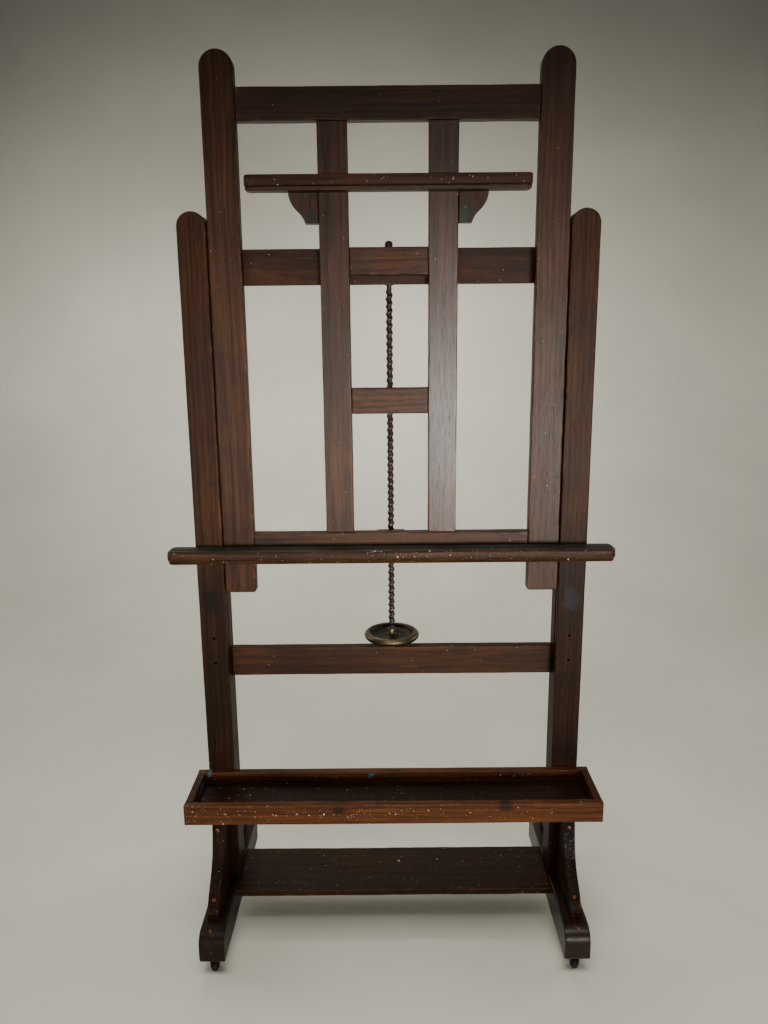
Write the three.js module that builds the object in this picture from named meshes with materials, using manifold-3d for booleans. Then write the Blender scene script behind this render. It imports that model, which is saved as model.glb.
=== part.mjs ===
// Studio easel in dark timber. A base on casters carries two grooved posts; a frame slides between
// the posts, raised by a vertical lead screw with a brass handwheel; a clamp bar slides on the frame.
//
// Millimetres. +X runs across the easel, the artist stands on the -Y side, +Z is up.
// The floor is Z = 0 and Y = 0 is the middle of the posts' depth.
import * as THREE from 'three'
import * as BufferGeometryUtils from 'three/addons/utils/BufferGeometryUtils.js'
import Module from 'manifold-3d'

// Clearances and edge work
const FIT = 0.3 // gap between pieces that are fixed against each other
const RUN = 1.4 // gap at each side of the sliding frame, and round its runners
const TURN = 0.5 // gap round a turning journal
const EASE = 2 // chamfer on the long edges of the timber
const PLAY = 1 // gap between the shelf's back and the posts' fronts

// Posts and the rails that join them
const CLEAR_WIDTH = 768
const POST_WIDTH = 62
const POST_DEPTH = 66
const POST_TOP = 1690
const BASE_RAIL_THICKNESS = 24
const UPPER_RAIL_BOTTOM = 1542
const UPPER_RAIL_HEIGHT = 75
const STRETCHER_BOTTOM = 635
const STRETCHER_HEIGHT = 70
const TENON_LENGTH = 24
const TENON_THICKNESS = 10
const TENON_SHOULDER = 10 // height left above and below each tenon
const POST_TENON_LENGTH = 34
const POST_TENON_SHOULDER = 14 // depth left in front of and behind each post's foot tenon
const POST_HOLE_RADIUS = 3
const POST_HOLE_DEPTH = 16
const POST_HOLE_HEIGHTS = [745, 684]

// Feet, braces and the low shelf
const FOOT_LENGTH = 464
const FOOT_WIDTH = 58
const FOOT_HEIGHT = 72
const TOE_RADIUS = 30
const HEEL_RADIUS = 9 // the small round under each toe
const BRACE_THICKNESS = 27
const BRACE_INSET = 13 // from the post's outer face
const BRACE_REACH = 148 // along the foot, from the post
const BRACE_TOP_DEPTH = 54
const BRACE_LEDGE = 12
const LOW_SHELF_DEPTH = 162
const LOW_SHELF_THICKNESS = 18
const LOW_SHELF_HOUSING = 8 // how far each end is let into its foot

// Tray for brushes and paint
const TRAY_OVERHANG = 23 // past each post's outer face
const TRAY_DEPTH = 157
const TRAY_HEIGHT = 47
const TRAY_BOTTOM = 363
const TRAY_BOARD = 18
const TRAY_FLOOR_THICKNESS = 12
const TRAY_FLOOR_RAISE = 7

// Sliding frame
const FRAME_SETBACK = 6 // from the posts' fronts
const FRAME_THICKNESS = 26
const STILE_WIDTH = 70
const STILE_BOTTOM = 855
const STILE_TOP = 2000
const STILE_HEEL_RADIUS = 7
const TOP_RAIL_BOTTOM = 1864
const TOP_RAIL_HEIGHT = 65
const LOWER_RAIL_BOTTOM = 930
const LOWER_RAIL_HEIGHT = 65
const INNER_STILE_WIDTH = 63
const INNER_GAP = 168
const SMALL_RAIL_HEIGHT = 57
const SMALL_RAIL_BOTTOMS = [1264, 1559]
const RUNNER_THICKNESS = 10
const RUNNER_DEPTH = 7 // how far each runner stands into its post
const RUNNER_BOTTOM = 870
const RUNNER_TOP = 1655
const GROOVE_BOTTOM = 722

// Canvas shelf
const SHELF_OVERHANG = 53 // past each post's outer face
const SHELF_DEPTH = 51
const SHELF_THICKNESS = 33
const SHELF_TOP = 968
const SHELF_NOSE_RADIUS = 8
const SHELF_LIP_HEIGHT = 10
const SHELF_LIP_SETBACK = 9
const SHELF_GROOVE_WIDTH = 7
const SHELF_GROOVE_DEPTH = 2.5
const SHELF_GROOVE_INSET = 15 // from the nose
const CLEAT_HEIGHT = 26

// Clamp bar
const CLAMP_LENGTH = 591
const CLAMP_DEPTH = 38
const CLAMP_THICKNESS = 30
const CLAMP_TOP = 1754
const CLAMP_LIP_HEIGHT = 8
const CLAMP_LIP_SETBACK = 11
const BRACKET_WIDTH = 62
const BRACKET_DROP = 60 // from the bar's underside to the foot of each bracket
const BRACKET_CREST = 4 // from the bar's top to the top of each bracket, behind the bar
const BRACKET_TOE = 31 // width at the foot of the bracket
const KEEPER_THICKNESS = 3
const KEEPER_LAP = 20 // how far each keeper laps behind its inner stile
const KEEPER_HEIGHT = 44
const LEAF_THICKNESS = 2
const LEAF_WIDTH = 14
const LEAF_HEIGHT = 46

// Lead screw and handwheel
const SCREW_RADIUS = 8
const JOURNAL_RADIUS = 5.5
const BUSH_WALL = 3
const BUSH_FLANGE_RADIUS = 21
const BUSH_FLANGE_THICKNESS = 3
const LOWER_BUSH_LENGTH = 45
const CAP_RADIUS = 8.5
const CAP_HEIGHT = 13
const HUB_RADIUS = 12
const HUB_HEIGHT = 41
const HUB_TOP_CHAMFER = 3
const WHEEL_RADIUS = 65.5
const RIM_RADIUS = 8.5
const RIM_LIFT = 24 // middle of the rim above the foot of the hub
const RIM_STEPS = 12
const WEB_THICKNESS = 5
const WEB_DROP = 2 // middle of the web below the middle of the rim
const NUT_RADIUS = 14
const NUT_FLANGE_THICKNESS = 4
const NUT_BLOCK_WIDTH = 64
const NUT_BLOCK_DEPTH = 40
const NUT_BLOCK_HEIGHT = 50
const THREAD_GAP = 0.6 // radial, stands for the thread in the nut

// Casters
const CASTER_HEIGHT = 40
const CASTER_INSET = 36 // stem from the end of the foot
const CASTER_TRAIL = 9
const CASTER_WHEEL_RADIUS = 13
const CASTER_WHEEL_WIDTH = 12
const CASTER_AXLE_RADIUS = 2.5
const CASTER_STEM_RADIUS = 4
const CASTER_STEM_LENGTH = 30
const CASTER_CHEEK_THICKNESS = 3
const CASTER_CHEEK_WIDTH = 15
const CASTER_CROWN_THICKNESS = 5
const CASTER_PLATE_RADIUS = 21
const CASTER_PLATE_THICKNESS = 3
const CASTER_SLEEVE_WALL = 3

// Places worked out from the sizes above
const postInner = CLEAR_WIDTH / 2
const postOuter = postInner + POST_WIDTH
const postMiddle = (postInner + postOuter) / 2
const postFront = -POST_DEPTH / 2
const postBack = POST_DEPTH / 2
const footBottom = CASTER_HEIGHT
const footTop = footBottom + FOOT_HEIGHT
const footInner = postMiddle - FOOT_WIDTH / 2
const frameFront = postFront + FRAME_SETBACK
const frameBack = frameFront + FRAME_THICKNESS
const stileOuter = postInner - RUN
const stileInner = stileOuter - STILE_WIDTH
const innerStileInner = INNER_GAP / 2
const innerStileOuter = innerStileInner + INNER_STILE_WIDTH
const lowerRailTop = LOWER_RAIL_BOTTOM + LOWER_RAIL_HEIGHT
const baseRailBack = postBack - 2
const baseRailFront = baseRailBack - BASE_RAIL_THICKNESS
const screwY = (baseRailFront + baseRailBack) / 2
const nutFlangeRadius = screwY - frameBack - 2 * FIT
const stretcherTop = STRETCHER_BOTTOM + STRETCHER_HEIGHT
const upperRailTop = UPPER_RAIL_BOTTOM + UPPER_RAIL_HEIGHT
const hubBottom = stretcherTop + FIT + BUSH_FLANGE_THICKNESS + FIT
const hubTop = hubBottom + HUB_HEIGHT
const bushRadius = JOURNAL_RADIUS + TURN + BUSH_WALL
const trayHalf = postOuter + TRAY_OVERHANG
const trayTop = TRAY_BOTTOM + TRAY_HEIGHT
const trayBack = postFront - FIT
const trayFront = trayBack - TRAY_DEPTH
const shelfBack = postFront - PLAY
const shelfFront = shelfBack - SHELF_DEPTH
const clampBack = frameFront - RUN / 2
const clampFront = clampBack - CLAMP_DEPTH
const clampBottom = CLAMP_TOP - CLAMP_THICKNESS
const bracketTop = CLAMP_TOP - BRACKET_CREST
const bracketBottom = clampBottom - BRACKET_DROP
const bracketFront = clampBack + FIT
const bracketInner = innerStileOuter + RUN / 2
const bracketOuter = bracketInner + BRACKET_WIDTH

const wasm = await Module()
wasm.setup()

// ---------------------------------------------------------------- materials
const COLOURS = {
  timber: { color: 0x3a2218, roughness: 0.5, metalness: 0 },
  trayTimber: { color: 0x5a2f18, roughness: 0.5, metalness: 0 },
  brass: { color: 0x8a7440, roughness: 0.35, metalness: 1 },
  steel: { color: 0x4a4340, roughness: 0.45, metalness: 1 },
  iron: { color: 0x2a2725, roughness: 0.6, metalness: 1 },
  wheel: { color: 0x1d1a18, roughness: 0.7, metalness: 0 },
}

function mesh(name, geometry, look) {
  const material = new THREE.MeshStandardMaterial(COLOURS[look])
  const made = new THREE.Mesh(geometry, material)
  made.name = name
  return made
}

// ---------------------------------------------------------------- solid helpers
function toManifold(geometry) {
  const plain = geometry.clone()
  plain.deleteAttribute('normal')
  plain.deleteAttribute('uv')
  const merged = BufferGeometryUtils.mergeVertices(plain, 1e-4)
  const vertProperties = new Float32Array(merged.attributes.position.array)
  const triVerts = new Uint32Array(merged.index.array)
  return new wasm.Manifold(new wasm.Mesh({ numProp: 3, vertProperties, triVerts }))
}

function fromManifold(solid) {
  const data = solid.getMesh()
  const geometry = new THREE.BufferGeometry()
  geometry.setAttribute('position', new THREE.BufferAttribute(new Float32Array(data.vertProperties), 3))
  geometry.setIndex(new THREE.BufferAttribute(new Uint32Array(data.triVerts), 1))
  return geometry
}

function carve(body, cutters) {
  let solid = toManifold(body)
  for (const cutter of cutters) solid = solid.subtract(toManifold(cutter))
  return fromManifold(solid)
}

function join(pieces) {
  let solid = toManifold(pieces[0])
  for (const piece of pieces.slice(1)) solid = solid.add(toManifold(piece))
  return fromManifold(solid)
}

// A plain box from one corner to the opposite one.
function box(low, high) {
  const geometry = new THREE.BoxGeometry(high[0] - low[0], high[1] - low[1], high[2] - low[2])
  geometry.translate((low[0] + high[0]) / 2, (low[1] + high[1]) / 2, (low[2] + high[2]) / 2)
  return geometry
}

// Extrudes an outline between two places on its axis, with the edges round both ends eased.
function extrude(outline, from, to, ease, curveSegments) {
  const geometry = new THREE.ExtrudeGeometry(outline, {
    depth: to - from - 2 * ease,
    bevelEnabled: ease > 0,
    bevelSegments: 1,
    bevelThickness: ease,
    bevelSize: ease,
    bevelOffset: -ease,
    curveSegments,
  })
  geometry.translate(0, 0, from + ease)
  return geometry
}

const X = new THREE.Vector3(1, 0, 0)
const Y = new THREE.Vector3(0, 1, 0)
const Z = new THREE.Vector3(0, 0, 1)

// An outline drawn in X and Z, running from yFront to yBack.
function facingFront(outline, yFront, yBack, ease = EASE, curveSegments = 8) {
  const geometry = extrude(outline, -yBack, -yFront, ease, curveSegments)
  return geometry.applyMatrix4(new THREE.Matrix4().makeBasis(X, Z, Y.clone().negate()))
}

// An outline drawn in Y and Z, running from xLeft to xRight.
function facingSide(outline, xLeft, xRight, ease = EASE, curveSegments = 5) {
  const geometry = extrude(outline, xLeft, xRight, ease, curveSegments)
  return geometry.applyMatrix4(new THREE.Matrix4().makeBasis(Y, Z, X))
}

function polygon(points) {
  return new THREE.Shape(points.map(([a, b]) => new THREE.Vector2(a, b)))
}

function easedRectangle(a0, a1, b0, b1, ease = EASE) {
  return polygon([
    [a0 + ease, b0],
    [a1 - ease, b0],
    [a1, b0 + ease],
    [a1, b1 - ease],
    [a1 - ease, b1],
    [a0 + ease, b1],
    [a0, b1 - ease],
    [a0, b0 + ease],
  ])
}

// A board that runs across the easel with its four long edges eased.
function crossBoard(xLeft, xRight, yFront, yBack, zLow, zHigh) {
  return facingSide(easedRectangle(yFront, yBack, zLow, zHigh), xLeft, xRight, 0)
}

// A solid of revolution about a vertical axis; the profile lists [radius, height].
function turned(profile, x, y, segments) {
  const points = profile.map(([radius, height]) => new THREE.Vector2(radius, height))
  const geometry = new THREE.LatheGeometry([...points, points[0]], segments)
  geometry.rotateX(Math.PI / 2)
  geometry.translate(x, y, 0)
  return geometry
}

// A round bar or hole cutter lying along Y.
function rodAlongY(radius, x, z, yFront, yBack, segments = 12) {
  const geometry = new THREE.CylinderGeometry(radius, radius, yBack - yFront, segments)
  geometry.translate(x, (yFront + yBack) / 2, z)
  return geometry
}

// A round bar along X.
function rodAlongX(radius, y, z, xLeft, xRight, segments = 12) {
  const geometry = new THREE.CylinderGeometry(radius, radius, xRight - xLeft, segments)
  geometry.rotateZ(Math.PI / 2)
  geometry.translate((xLeft + xRight) / 2, y, z)
  return geometry
}

function rodUp(radius, x, y, zLow, zHigh, segments = 20) {
  const geometry = new THREE.CylinderGeometry(radius, radius, zHigh - zLow, segments)
  geometry.rotateX(Math.PI / 2)
  geometry.translate(x, y, (zLow + zHigh) / 2)
  return geometry
}

// Mirrors a solid from the right-hand side (+X) to the left, or from the front to the back.
function mirrored(geometry, axis) {
  const copy = geometry.index ? geometry.toNonIndexed() : geometry.clone()
  copy.scale(axis === 'x' ? -1 : 1, axis === 'y' ? -1 : 1, 1)
  const position = copy.attributes.position
  for (let i = 0; i < position.count; i += 3) {
    const a = new THREE.Vector3().fromBufferAttribute(position, i)
    const b = new THREE.Vector3().fromBufferAttribute(position, i + 1)
    position.setXYZ(i, b.x, b.y, b.z)
    position.setXYZ(i + 1, a.x, a.y, a.z)
  }
  return copy
}

const SIDES = [['right', (geometry) => geometry], ['left', (geometry) => mirrored(geometry, 'x')]]

// A pair of like pieces, the right one made by a function and the left one its mirror image.
function pair(name, geometry, look) {
  return SIDES.map(([side, place]) => mesh(`${name}_${side}`, place(geometry), look))
}

// An upright with a half-round top.
function roundTopped(xLow, xHigh, zLow, zHigh, heelRadius) {
  const radius = (xHigh - xLow) / 2
  const outline = new THREE.Shape()
  outline.moveTo(xLow + heelRadius, zLow)
  outline.lineTo(xHigh - heelRadius, zLow)
  if (heelRadius > 0) outline.absarc(xHigh - heelRadius, zLow + heelRadius, heelRadius, -Math.PI / 2, 0)
  outline.absarc((xLow + xHigh) / 2, zHigh - radius, radius, 0, Math.PI)
  if (heelRadius > 0) outline.absarc(xLow + heelRadius, zLow + heelRadius, heelRadius, Math.PI, 1.5 * Math.PI)
  return outline
}

// ---------------------------------------------------------------- base
function railMortise(railBottom, railHeight) {
  const middle = (baseRailFront + baseRailBack) / 2
  return box(
    [postInner - 1, middle - TENON_THICKNESS / 2 - FIT, railBottom + TENON_SHOULDER - FIT],
    [postInner + TENON_LENGTH + FIT, middle + TENON_THICKNESS / 2 + FIT,
      railBottom + railHeight - TENON_SHOULDER + FIT],
  )
}

function postTenon(gap) {
  const halfDepth = POST_DEPTH / 2 - POST_TENON_SHOULDER + gap
  const halfWidth = POST_WIDTH / 6 + gap
  return box(
    [postMiddle - halfWidth, -halfDepth, footTop - POST_TENON_LENGTH - gap],
    [postMiddle + halfWidth, halfDepth, footTop + 3 * EASE],
  )
}

function runnerGroove() {
  const middle = (frameFront + frameBack) / 2
  return box(
    [postInner - 1, middle - RUNNER_THICKNESS / 2 - RUN / 2, GROOVE_BOTTOM],
    [postInner + RUNNER_DEPTH + RUN, middle + RUNNER_THICKNESS / 2 + RUN / 2, POST_TOP + 1],
  )
}

function post() {
  const body = facingFront(roundTopped(postInner, postOuter, footTop + FIT, POST_TOP, 0), postFront, postBack)
  const holes = POST_HOLE_HEIGHTS.map((height) =>
    rodAlongY(POST_HOLE_RADIUS, postMiddle, height, postFront - 1, postFront + POST_HOLE_DEPTH, 10))
  const mortises = [
    railMortise(UPPER_RAIL_BOTTOM, UPPER_RAIL_HEIGHT),
    railMortise(STRETCHER_BOTTOM, STRETCHER_HEIGHT),
  ]
  return carve(join([body, postTenon(0)]), [runnerGroove(), ...mortises, ...holes])
}

// A rail between the posts, with a stub tenon at each end and a hole for a bush.
function baseRail(zLow, height) {
  const board = crossBoard(-postInner + FIT, postInner - FIT, baseRailFront, baseRailBack, zLow, zLow + height)
  const tenons = box(
    [-postInner - TENON_LENGTH, screwY - TENON_THICKNESS / 2, zLow + TENON_SHOULDER],
    [postInner + TENON_LENGTH, screwY + TENON_THICKNESS / 2, zLow + height - TENON_SHOULDER],
  )
  return join([board, tenons])
}

function upperRail() {
  const hole = rodUp(bushRadius + FIT, 0, screwY, UPPER_RAIL_BOTTOM - 1, upperRailTop + 1)
  return carve(baseRail(UPPER_RAIL_BOTTOM, UPPER_RAIL_HEIGHT), [hole])
}

function stretcher() {
  const hole = rodUp(bushRadius + FIT, 0, screwY, stretcherTop - LOWER_BUSH_LENGTH - FIT, stretcherTop + 1)
  return carve(baseRail(STRETCHER_BOTTOM, STRETCHER_HEIGHT), [hole])
}

function footOutline() {
  const end = FOOT_LENGTH / 2
  const outline = new THREE.Shape()
  outline.moveTo(-end + HEEL_RADIUS, footBottom)
  outline.lineTo(end - HEEL_RADIUS, footBottom)
  outline.absarc(end - HEEL_RADIUS, footBottom + HEEL_RADIUS, HEEL_RADIUS, -Math.PI / 2, 0)
  outline.absarc(end - TOE_RADIUS, footTop - TOE_RADIUS, TOE_RADIUS, 0, Math.PI / 2)
  outline.absarc(-end + TOE_RADIUS, footTop - TOE_RADIUS, TOE_RADIUS, Math.PI / 2, Math.PI)
  outline.absarc(-end + HEEL_RADIUS, footBottom + HEEL_RADIUS, HEEL_RADIUS, Math.PI, 1.5 * Math.PI)
  return outline
}

function foot() {
  const body = facingSide(footOutline(), footInner, footInner + FOOT_WIDTH)
  const housing = box(
    [footInner - 1, -LOW_SHELF_DEPTH / 2 - FIT, footTop - LOW_SHELF_THICKNESS - FIT],
    [footInner + LOW_SHELF_HOUSING + FIT, LOW_SHELF_DEPTH / 2 + FIT, footTop + 1],
  )
  const sleeveRadius = CASTER_STEM_RADIUS + TURN + CASTER_SLEEVE_WALL + FIT
  const sleeveHoles = [-1, 1].map((end) => rodUp(
    sleeveRadius, postMiddle, end * (FOOT_LENGTH / 2 - CASTER_INSET),
    footBottom - 1, footBottom + CASTER_STEM_LENGTH + 1, 12))
  return carve(body, [postTenon(FIT), housing, ...sleeveHoles])
}

// The S-curved brace in front of a post, drawn in Y and Z.
function braceOutline() {
  const back = postFront - FIT
  const low = footTop + FIT
  const high = TRAY_BOTTOM - FIT
  const toe = back - BRACE_REACH
  const brow = back - BRACE_TOP_DEPTH
  const turn = low + (high - low) * 0.24 // height where the cove gives way to the round toe
  const turnY = toe + (brow - toe) * 0.36
  const outline = new THREE.Shape()
  outline.moveTo(back, low)
  outline.lineTo(back, high)
  outline.lineTo(brow, high)
  outline.bezierCurveTo(brow, high - (high - turn) * 0.6, brow - (brow - turnY) * 0.25, turn + 34, turnY, turn)
  outline.quadraticCurveTo(toe, low + BRACE_LEDGE * 2.4, toe, low + BRACE_LEDGE)
  outline.lineTo(toe, low)
  return outline
}

function frontBrace() {
  const outer = postOuter - BRACE_INSET
  return facingSide(braceOutline(), outer - BRACE_THICKNESS, outer, EASE, 7)
}

// The board between the feet, notched at each end where a post stands.
function lowShelf() {
  const reach = footInner + LOW_SHELF_HOUSING
  const depth = LOW_SHELF_DEPTH / 2
  const board = crossBoard(-reach, reach, -depth, depth, footTop - LOW_SHELF_THICKNESS, footTop)
  const notch = box(
    [postInner - FIT, postFront - FIT, footTop - LOW_SHELF_THICKNESS - 1],
    [reach + 1, postBack + FIT, footTop + 1],
  )
  return carve(board, [notch, mirrored(notch, 'x')])
}

function base() {
  const brace = frontBrace()
  return [
    ...pair('post', post(), 'timber'),
    mesh('upper_rail', upperRail(), 'timber'),
    mesh('stretcher', stretcher(), 'timber'),
    ...pair('foot', foot(), 'timber'),
    ...pair('brace_front', brace, 'timber'),
    ...pair('brace_rear', mirrored(brace, 'y'), 'timber'),
    mesh('low_shelf', lowShelf(), 'timber'),
  ]
}

// ---------------------------------------------------------------- tray
function trayEnd() {
  const outline = easedRectangle(trayHalf - TRAY_BOARD, trayHalf, TRAY_BOTTOM, trayTop)
  return facingFront(outline, trayFront + TRAY_BOARD + FIT, trayBack - TRAY_BOARD - FIT, 0)
}

function tray() {
  const inner = trayHalf - TRAY_BOARD - FIT
  const floorLow = TRAY_BOTTOM + TRAY_FLOOR_RAISE
  const board = (front) => facingSide(
    easedRectangle(front, front + TRAY_BOARD, TRAY_BOTTOM, trayTop), -trayHalf, trayHalf)
  const floor = box(
    [-inner, trayFront + TRAY_BOARD + FIT, floorLow],
    [inner, trayBack - TRAY_BOARD - FIT, floorLow + TRAY_FLOOR_THICKNESS],
  )
  return [
    mesh('tray_front', board(trayFront), 'trayTimber'),
    mesh('tray_back', board(trayBack - TRAY_BOARD), 'timber'),
    ...pair('tray_end', trayEnd(), 'trayTimber'),
    mesh('tray_floor', floor, 'timber'),
  ]
}

// ---------------------------------------------------------------- sliding frame
function frameBoard(xLeft, xRight, zLow, zHigh) {
  const outline = polygon([[xLeft, zLow], [xRight, zLow], [xRight, zHigh], [xLeft, zHigh]])
  return facingFront(outline, frameFront, frameBack)
}

function stile() {
  const outline = roundTopped(stileInner, stileOuter, STILE_BOTTOM, STILE_TOP, STILE_HEEL_RADIUS)
  return facingFront(outline, frameFront, frameBack)
}

function runner() {
  const middle = (frameFront + frameBack) / 2
  return box(
    [stileOuter + FIT, middle - RUNNER_THICKNESS / 2, RUNNER_BOTTOM],
    [postInner + RUNNER_DEPTH, middle + RUNNER_THICKNESS / 2, RUNNER_TOP],
  )
}

// The shelf's moulded section: a grooved top, a round nose and a lip set back below it.
function shelfOutline() {
  const nose = SHELF_NOSE_RADIUS
  const bottom = SHELF_TOP - SHELF_THICKNESS
  const grooveBack = shelfFront + SHELF_GROOVE_INSET + SHELF_GROOVE_WIDTH
  const grooveFront = shelfFront + SHELF_GROOVE_INSET
  const bend = SHELF_GROOVE_DEPTH * 0.6
  const outline = new THREE.Shape()
  outline.moveTo(shelfBack, bottom)
  outline.lineTo(shelfBack, SHELF_TOP)
  outline.lineTo(grooveBack, SHELF_TOP)
  outline.lineTo(grooveBack - bend, SHELF_TOP - SHELF_GROOVE_DEPTH)
  outline.lineTo(grooveFront + bend, SHELF_TOP - SHELF_GROOVE_DEPTH)
  outline.lineTo(grooveFront, SHELF_TOP)
  outline.absarc(shelfFront + nose, SHELF_TOP - nose, nose, Math.PI / 2, Math.PI)
  outline.lineTo(shelfFront, bottom + SHELF_LIP_HEIGHT + nose / 2)
  outline.lineTo(shelfFront + nose / 2, bottom + SHELF_LIP_HEIGHT)
  outline.lineTo(shelfFront + SHELF_LIP_SETBACK, bottom + SHELF_LIP_HEIGHT)
  outline.lineTo(shelfFront + SHELF_LIP_SETBACK, bottom)
  return outline
}

function canvasShelf() {
  const half = postOuter + SHELF_OVERHANG
  return facingSide(shelfOutline(), -half, half, EASE, 4)
}

function nutBlock() {
  const front = frameBack + FIT
  const middle = LOWER_RAIL_BOTTOM + LOWER_RAIL_HEIGHT / 2
  const block = crossBoard(
    -NUT_BLOCK_WIDTH / 2, NUT_BLOCK_WIDTH / 2, front, front + NUT_BLOCK_DEPTH,
    middle - NUT_BLOCK_HEIGHT / 2, middle + NUT_BLOCK_HEIGHT / 2)
  const reach = NUT_BLOCK_HEIGHT
  return carve(block, [rodUp(NUT_RADIUS + FIT, 0, screwY, middle - reach, middle + reach)])
}

function brassNut() {
  const middle = LOWER_RAIL_BOTTOM + LOWER_RAIL_HEIGHT / 2
  const low = middle - NUT_BLOCK_HEIGHT / 2 - FIT - NUT_FLANGE_THICKNESS
  const flangeTop = low + NUT_FLANGE_THICKNESS
  const high = middle + NUT_BLOCK_HEIGHT / 2 - 2
  const bore = SCREW_RADIUS + THREAD_GAP
  return turned([
    [bore, low],
    [nutFlangeRadius, low],
    [nutFlangeRadius, flangeTop],
    [NUT_RADIUS, flangeTop],
    [NUT_RADIUS, high],
    [bore, high],
  ], 0, screwY, 20)
}

function slidingFrame() {
  const railEnd = stileInner - FIT
  const innerStile = frameBoard(
    innerStileInner, innerStileOuter, lowerRailTop + FIT, TOP_RAIL_BOTTOM - FIT)
  const cleat = box(
    [-railEnd, shelfBack + FIT, SHELF_TOP - SHELF_THICKNESS],
    [railEnd, frameFront - FIT, SHELF_TOP - SHELF_THICKNESS + CLEAT_HEIGHT],
  )
  return [
    ...pair('stile', stile(), 'timber'),
    mesh('top_rail', frameBoard(-railEnd, railEnd, TOP_RAIL_BOTTOM, TOP_RAIL_BOTTOM + TOP_RAIL_HEIGHT), 'timber'),
    mesh('lower_rail', frameBoard(-railEnd, railEnd, LOWER_RAIL_BOTTOM, lowerRailTop), 'timber'),
    ...pair('inner_stile', innerStile, 'timber'),
    ...SMALL_RAIL_BOTTOMS.map((bottom, index) => mesh(
      ['small_rail_lower', 'small_rail_upper'][index],
      frameBoard(-innerStileInner + FIT, innerStileInner - FIT, bottom, bottom + SMALL_RAIL_HEIGHT),
      'timber')),
    mesh('canvas_shelf', canvasShelf(), 'timber'),
    mesh('shelf_cleat', cleat, 'timber'),
    ...pair('runner', runner(), 'timber'),
    mesh('nut_block', nutBlock(), 'timber'),
    mesh('brass_nut', brassNut(), 'brass'),
  ]
}

// ---------------------------------------------------------------- clamp bar
function clampOutline() {
  const lipTop = clampBottom + CLAMP_LIP_HEIGHT
  return polygon([
    [clampBack, clampBottom],
    [clampBack, CLAMP_TOP],
    [clampFront + 3 * EASE, CLAMP_TOP],
    [clampFront, CLAMP_TOP - 2 * EASE],
    [clampFront, lipTop + EASE],
    [clampFront + EASE, lipTop],
    [clampFront + CLAMP_LIP_SETBACK, lipTop],
    [clampFront + CLAMP_LIP_SETBACK, clampBottom],
  ])
}

// The ogee bracket beside an inner stile, drawn in X and Z. It stands in the plane of the frame, so
// that a canvas passes in front of it, and its upper part is screwed to the back of the clamp bar.
function bracketOutline() {
  const waist = bracketInner + BRACKET_TOE
  const outline = new THREE.Shape()
  outline.moveTo(bracketInner, bracketBottom)
  outline.lineTo(waist - 3, bracketBottom)
  outline.quadraticCurveTo(waist + 2, bracketBottom + 15, waist + 13, bracketBottom + 25)
  outline.quadraticCurveTo(bracketOuter - 2, bracketBottom + 38, bracketOuter, clampBottom)
  outline.lineTo(bracketOuter, bracketTop)
  outline.lineTo(bracketInner, bracketTop)
  return outline
}

function bracket() {
  const middle = (bracketBottom + bracketTop) / 2
  const pocketMiddle = (frameFront + frameBack) / 2
  const pocket = box(
    [bracketInner - 1, pocketMiddle - LEAF_WIDTH / 2 - FIT, middle - LEAF_HEIGHT / 2 - FIT],
    [bracketInner + LEAF_THICKNESS + 2 * FIT, pocketMiddle + LEAF_WIDTH / 2 + FIT,
      middle + LEAF_HEIGHT / 2 + FIT],
  )
  return carve(facingFront(bracketOutline(), bracketFront, frameBack, 1, 4), [pocket])
}

function frictionLeaf() {
  const middle = (bracketBottom + bracketTop) / 2
  const pocketMiddle = (frameFront + frameBack) / 2
  return box(
    [bracketInner + FIT, pocketMiddle - LEAF_WIDTH / 2, middle - LEAF_HEIGHT / 2],
    [bracketInner + FIT + LEAF_THICKNESS, pocketMiddle + LEAF_WIDTH / 2, middle + LEAF_HEIGHT / 2],
  )
}

function keeper() {
  const middle = (bracketBottom + bracketTop) / 2
  return box(
    [innerStileOuter - KEEPER_LAP, frameBack + FIT, middle - KEEPER_HEIGHT / 2],
    [bracketInner + BRACKET_TOE - 6, frameBack + FIT + KEEPER_THICKNESS, middle + KEEPER_HEIGHT / 2],
  )
}

function clamp() {
  return [
    mesh('clamp_bar', facingSide(clampOutline(), -CLAMP_LENGTH / 2, CLAMP_LENGTH / 2), 'timber'),
    ...pair('clamp_bracket', bracket(), 'timber'),
    ...pair('clamp_keeper', keeper(), 'brass'),
    ...pair('clamp_leaf', frictionLeaf(), 'brass'),
  ]
}

// ---------------------------------------------------------------- lead screw and handwheel
function leadScrew() {
  const low = stretcherTop - LOWER_BUSH_LENGTH + 2
  const high = upperRailTop + FIT + BUSH_FLANGE_THICKNESS + CAP_HEIGHT - 3
  const threadTop = UPPER_RAIL_BOTTOM - 3 * BUSH_FLANGE_THICKNESS
  return turned([
    [0, low],
    [JOURNAL_RADIUS, low],
    [JOURNAL_RADIUS, hubTop + FIT],
    [SCREW_RADIUS, hubTop + FIT],
    [SCREW_RADIUS, threadTop],
    [JOURNAL_RADIUS, threadTop],
    [JOURNAL_RADIUS, high],
    [0, high],
  ], 0, screwY, 16)
}

function capNut() {
  const low = upperRailTop + FIT + BUSH_FLANGE_THICKNESS + FIT
  const high = low + CAP_HEIGHT
  const bore = JOURNAL_RADIUS + FIT
  return turned([
    [bore, low],
    [CAP_RADIUS, low],
    [CAP_RADIUS, high - 3],
    [CAP_RADIUS - 3, high],
    [0, high],
    [0, high - 2],
    [bore, high - 2],
  ], 0, screwY, 16)
}

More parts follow.
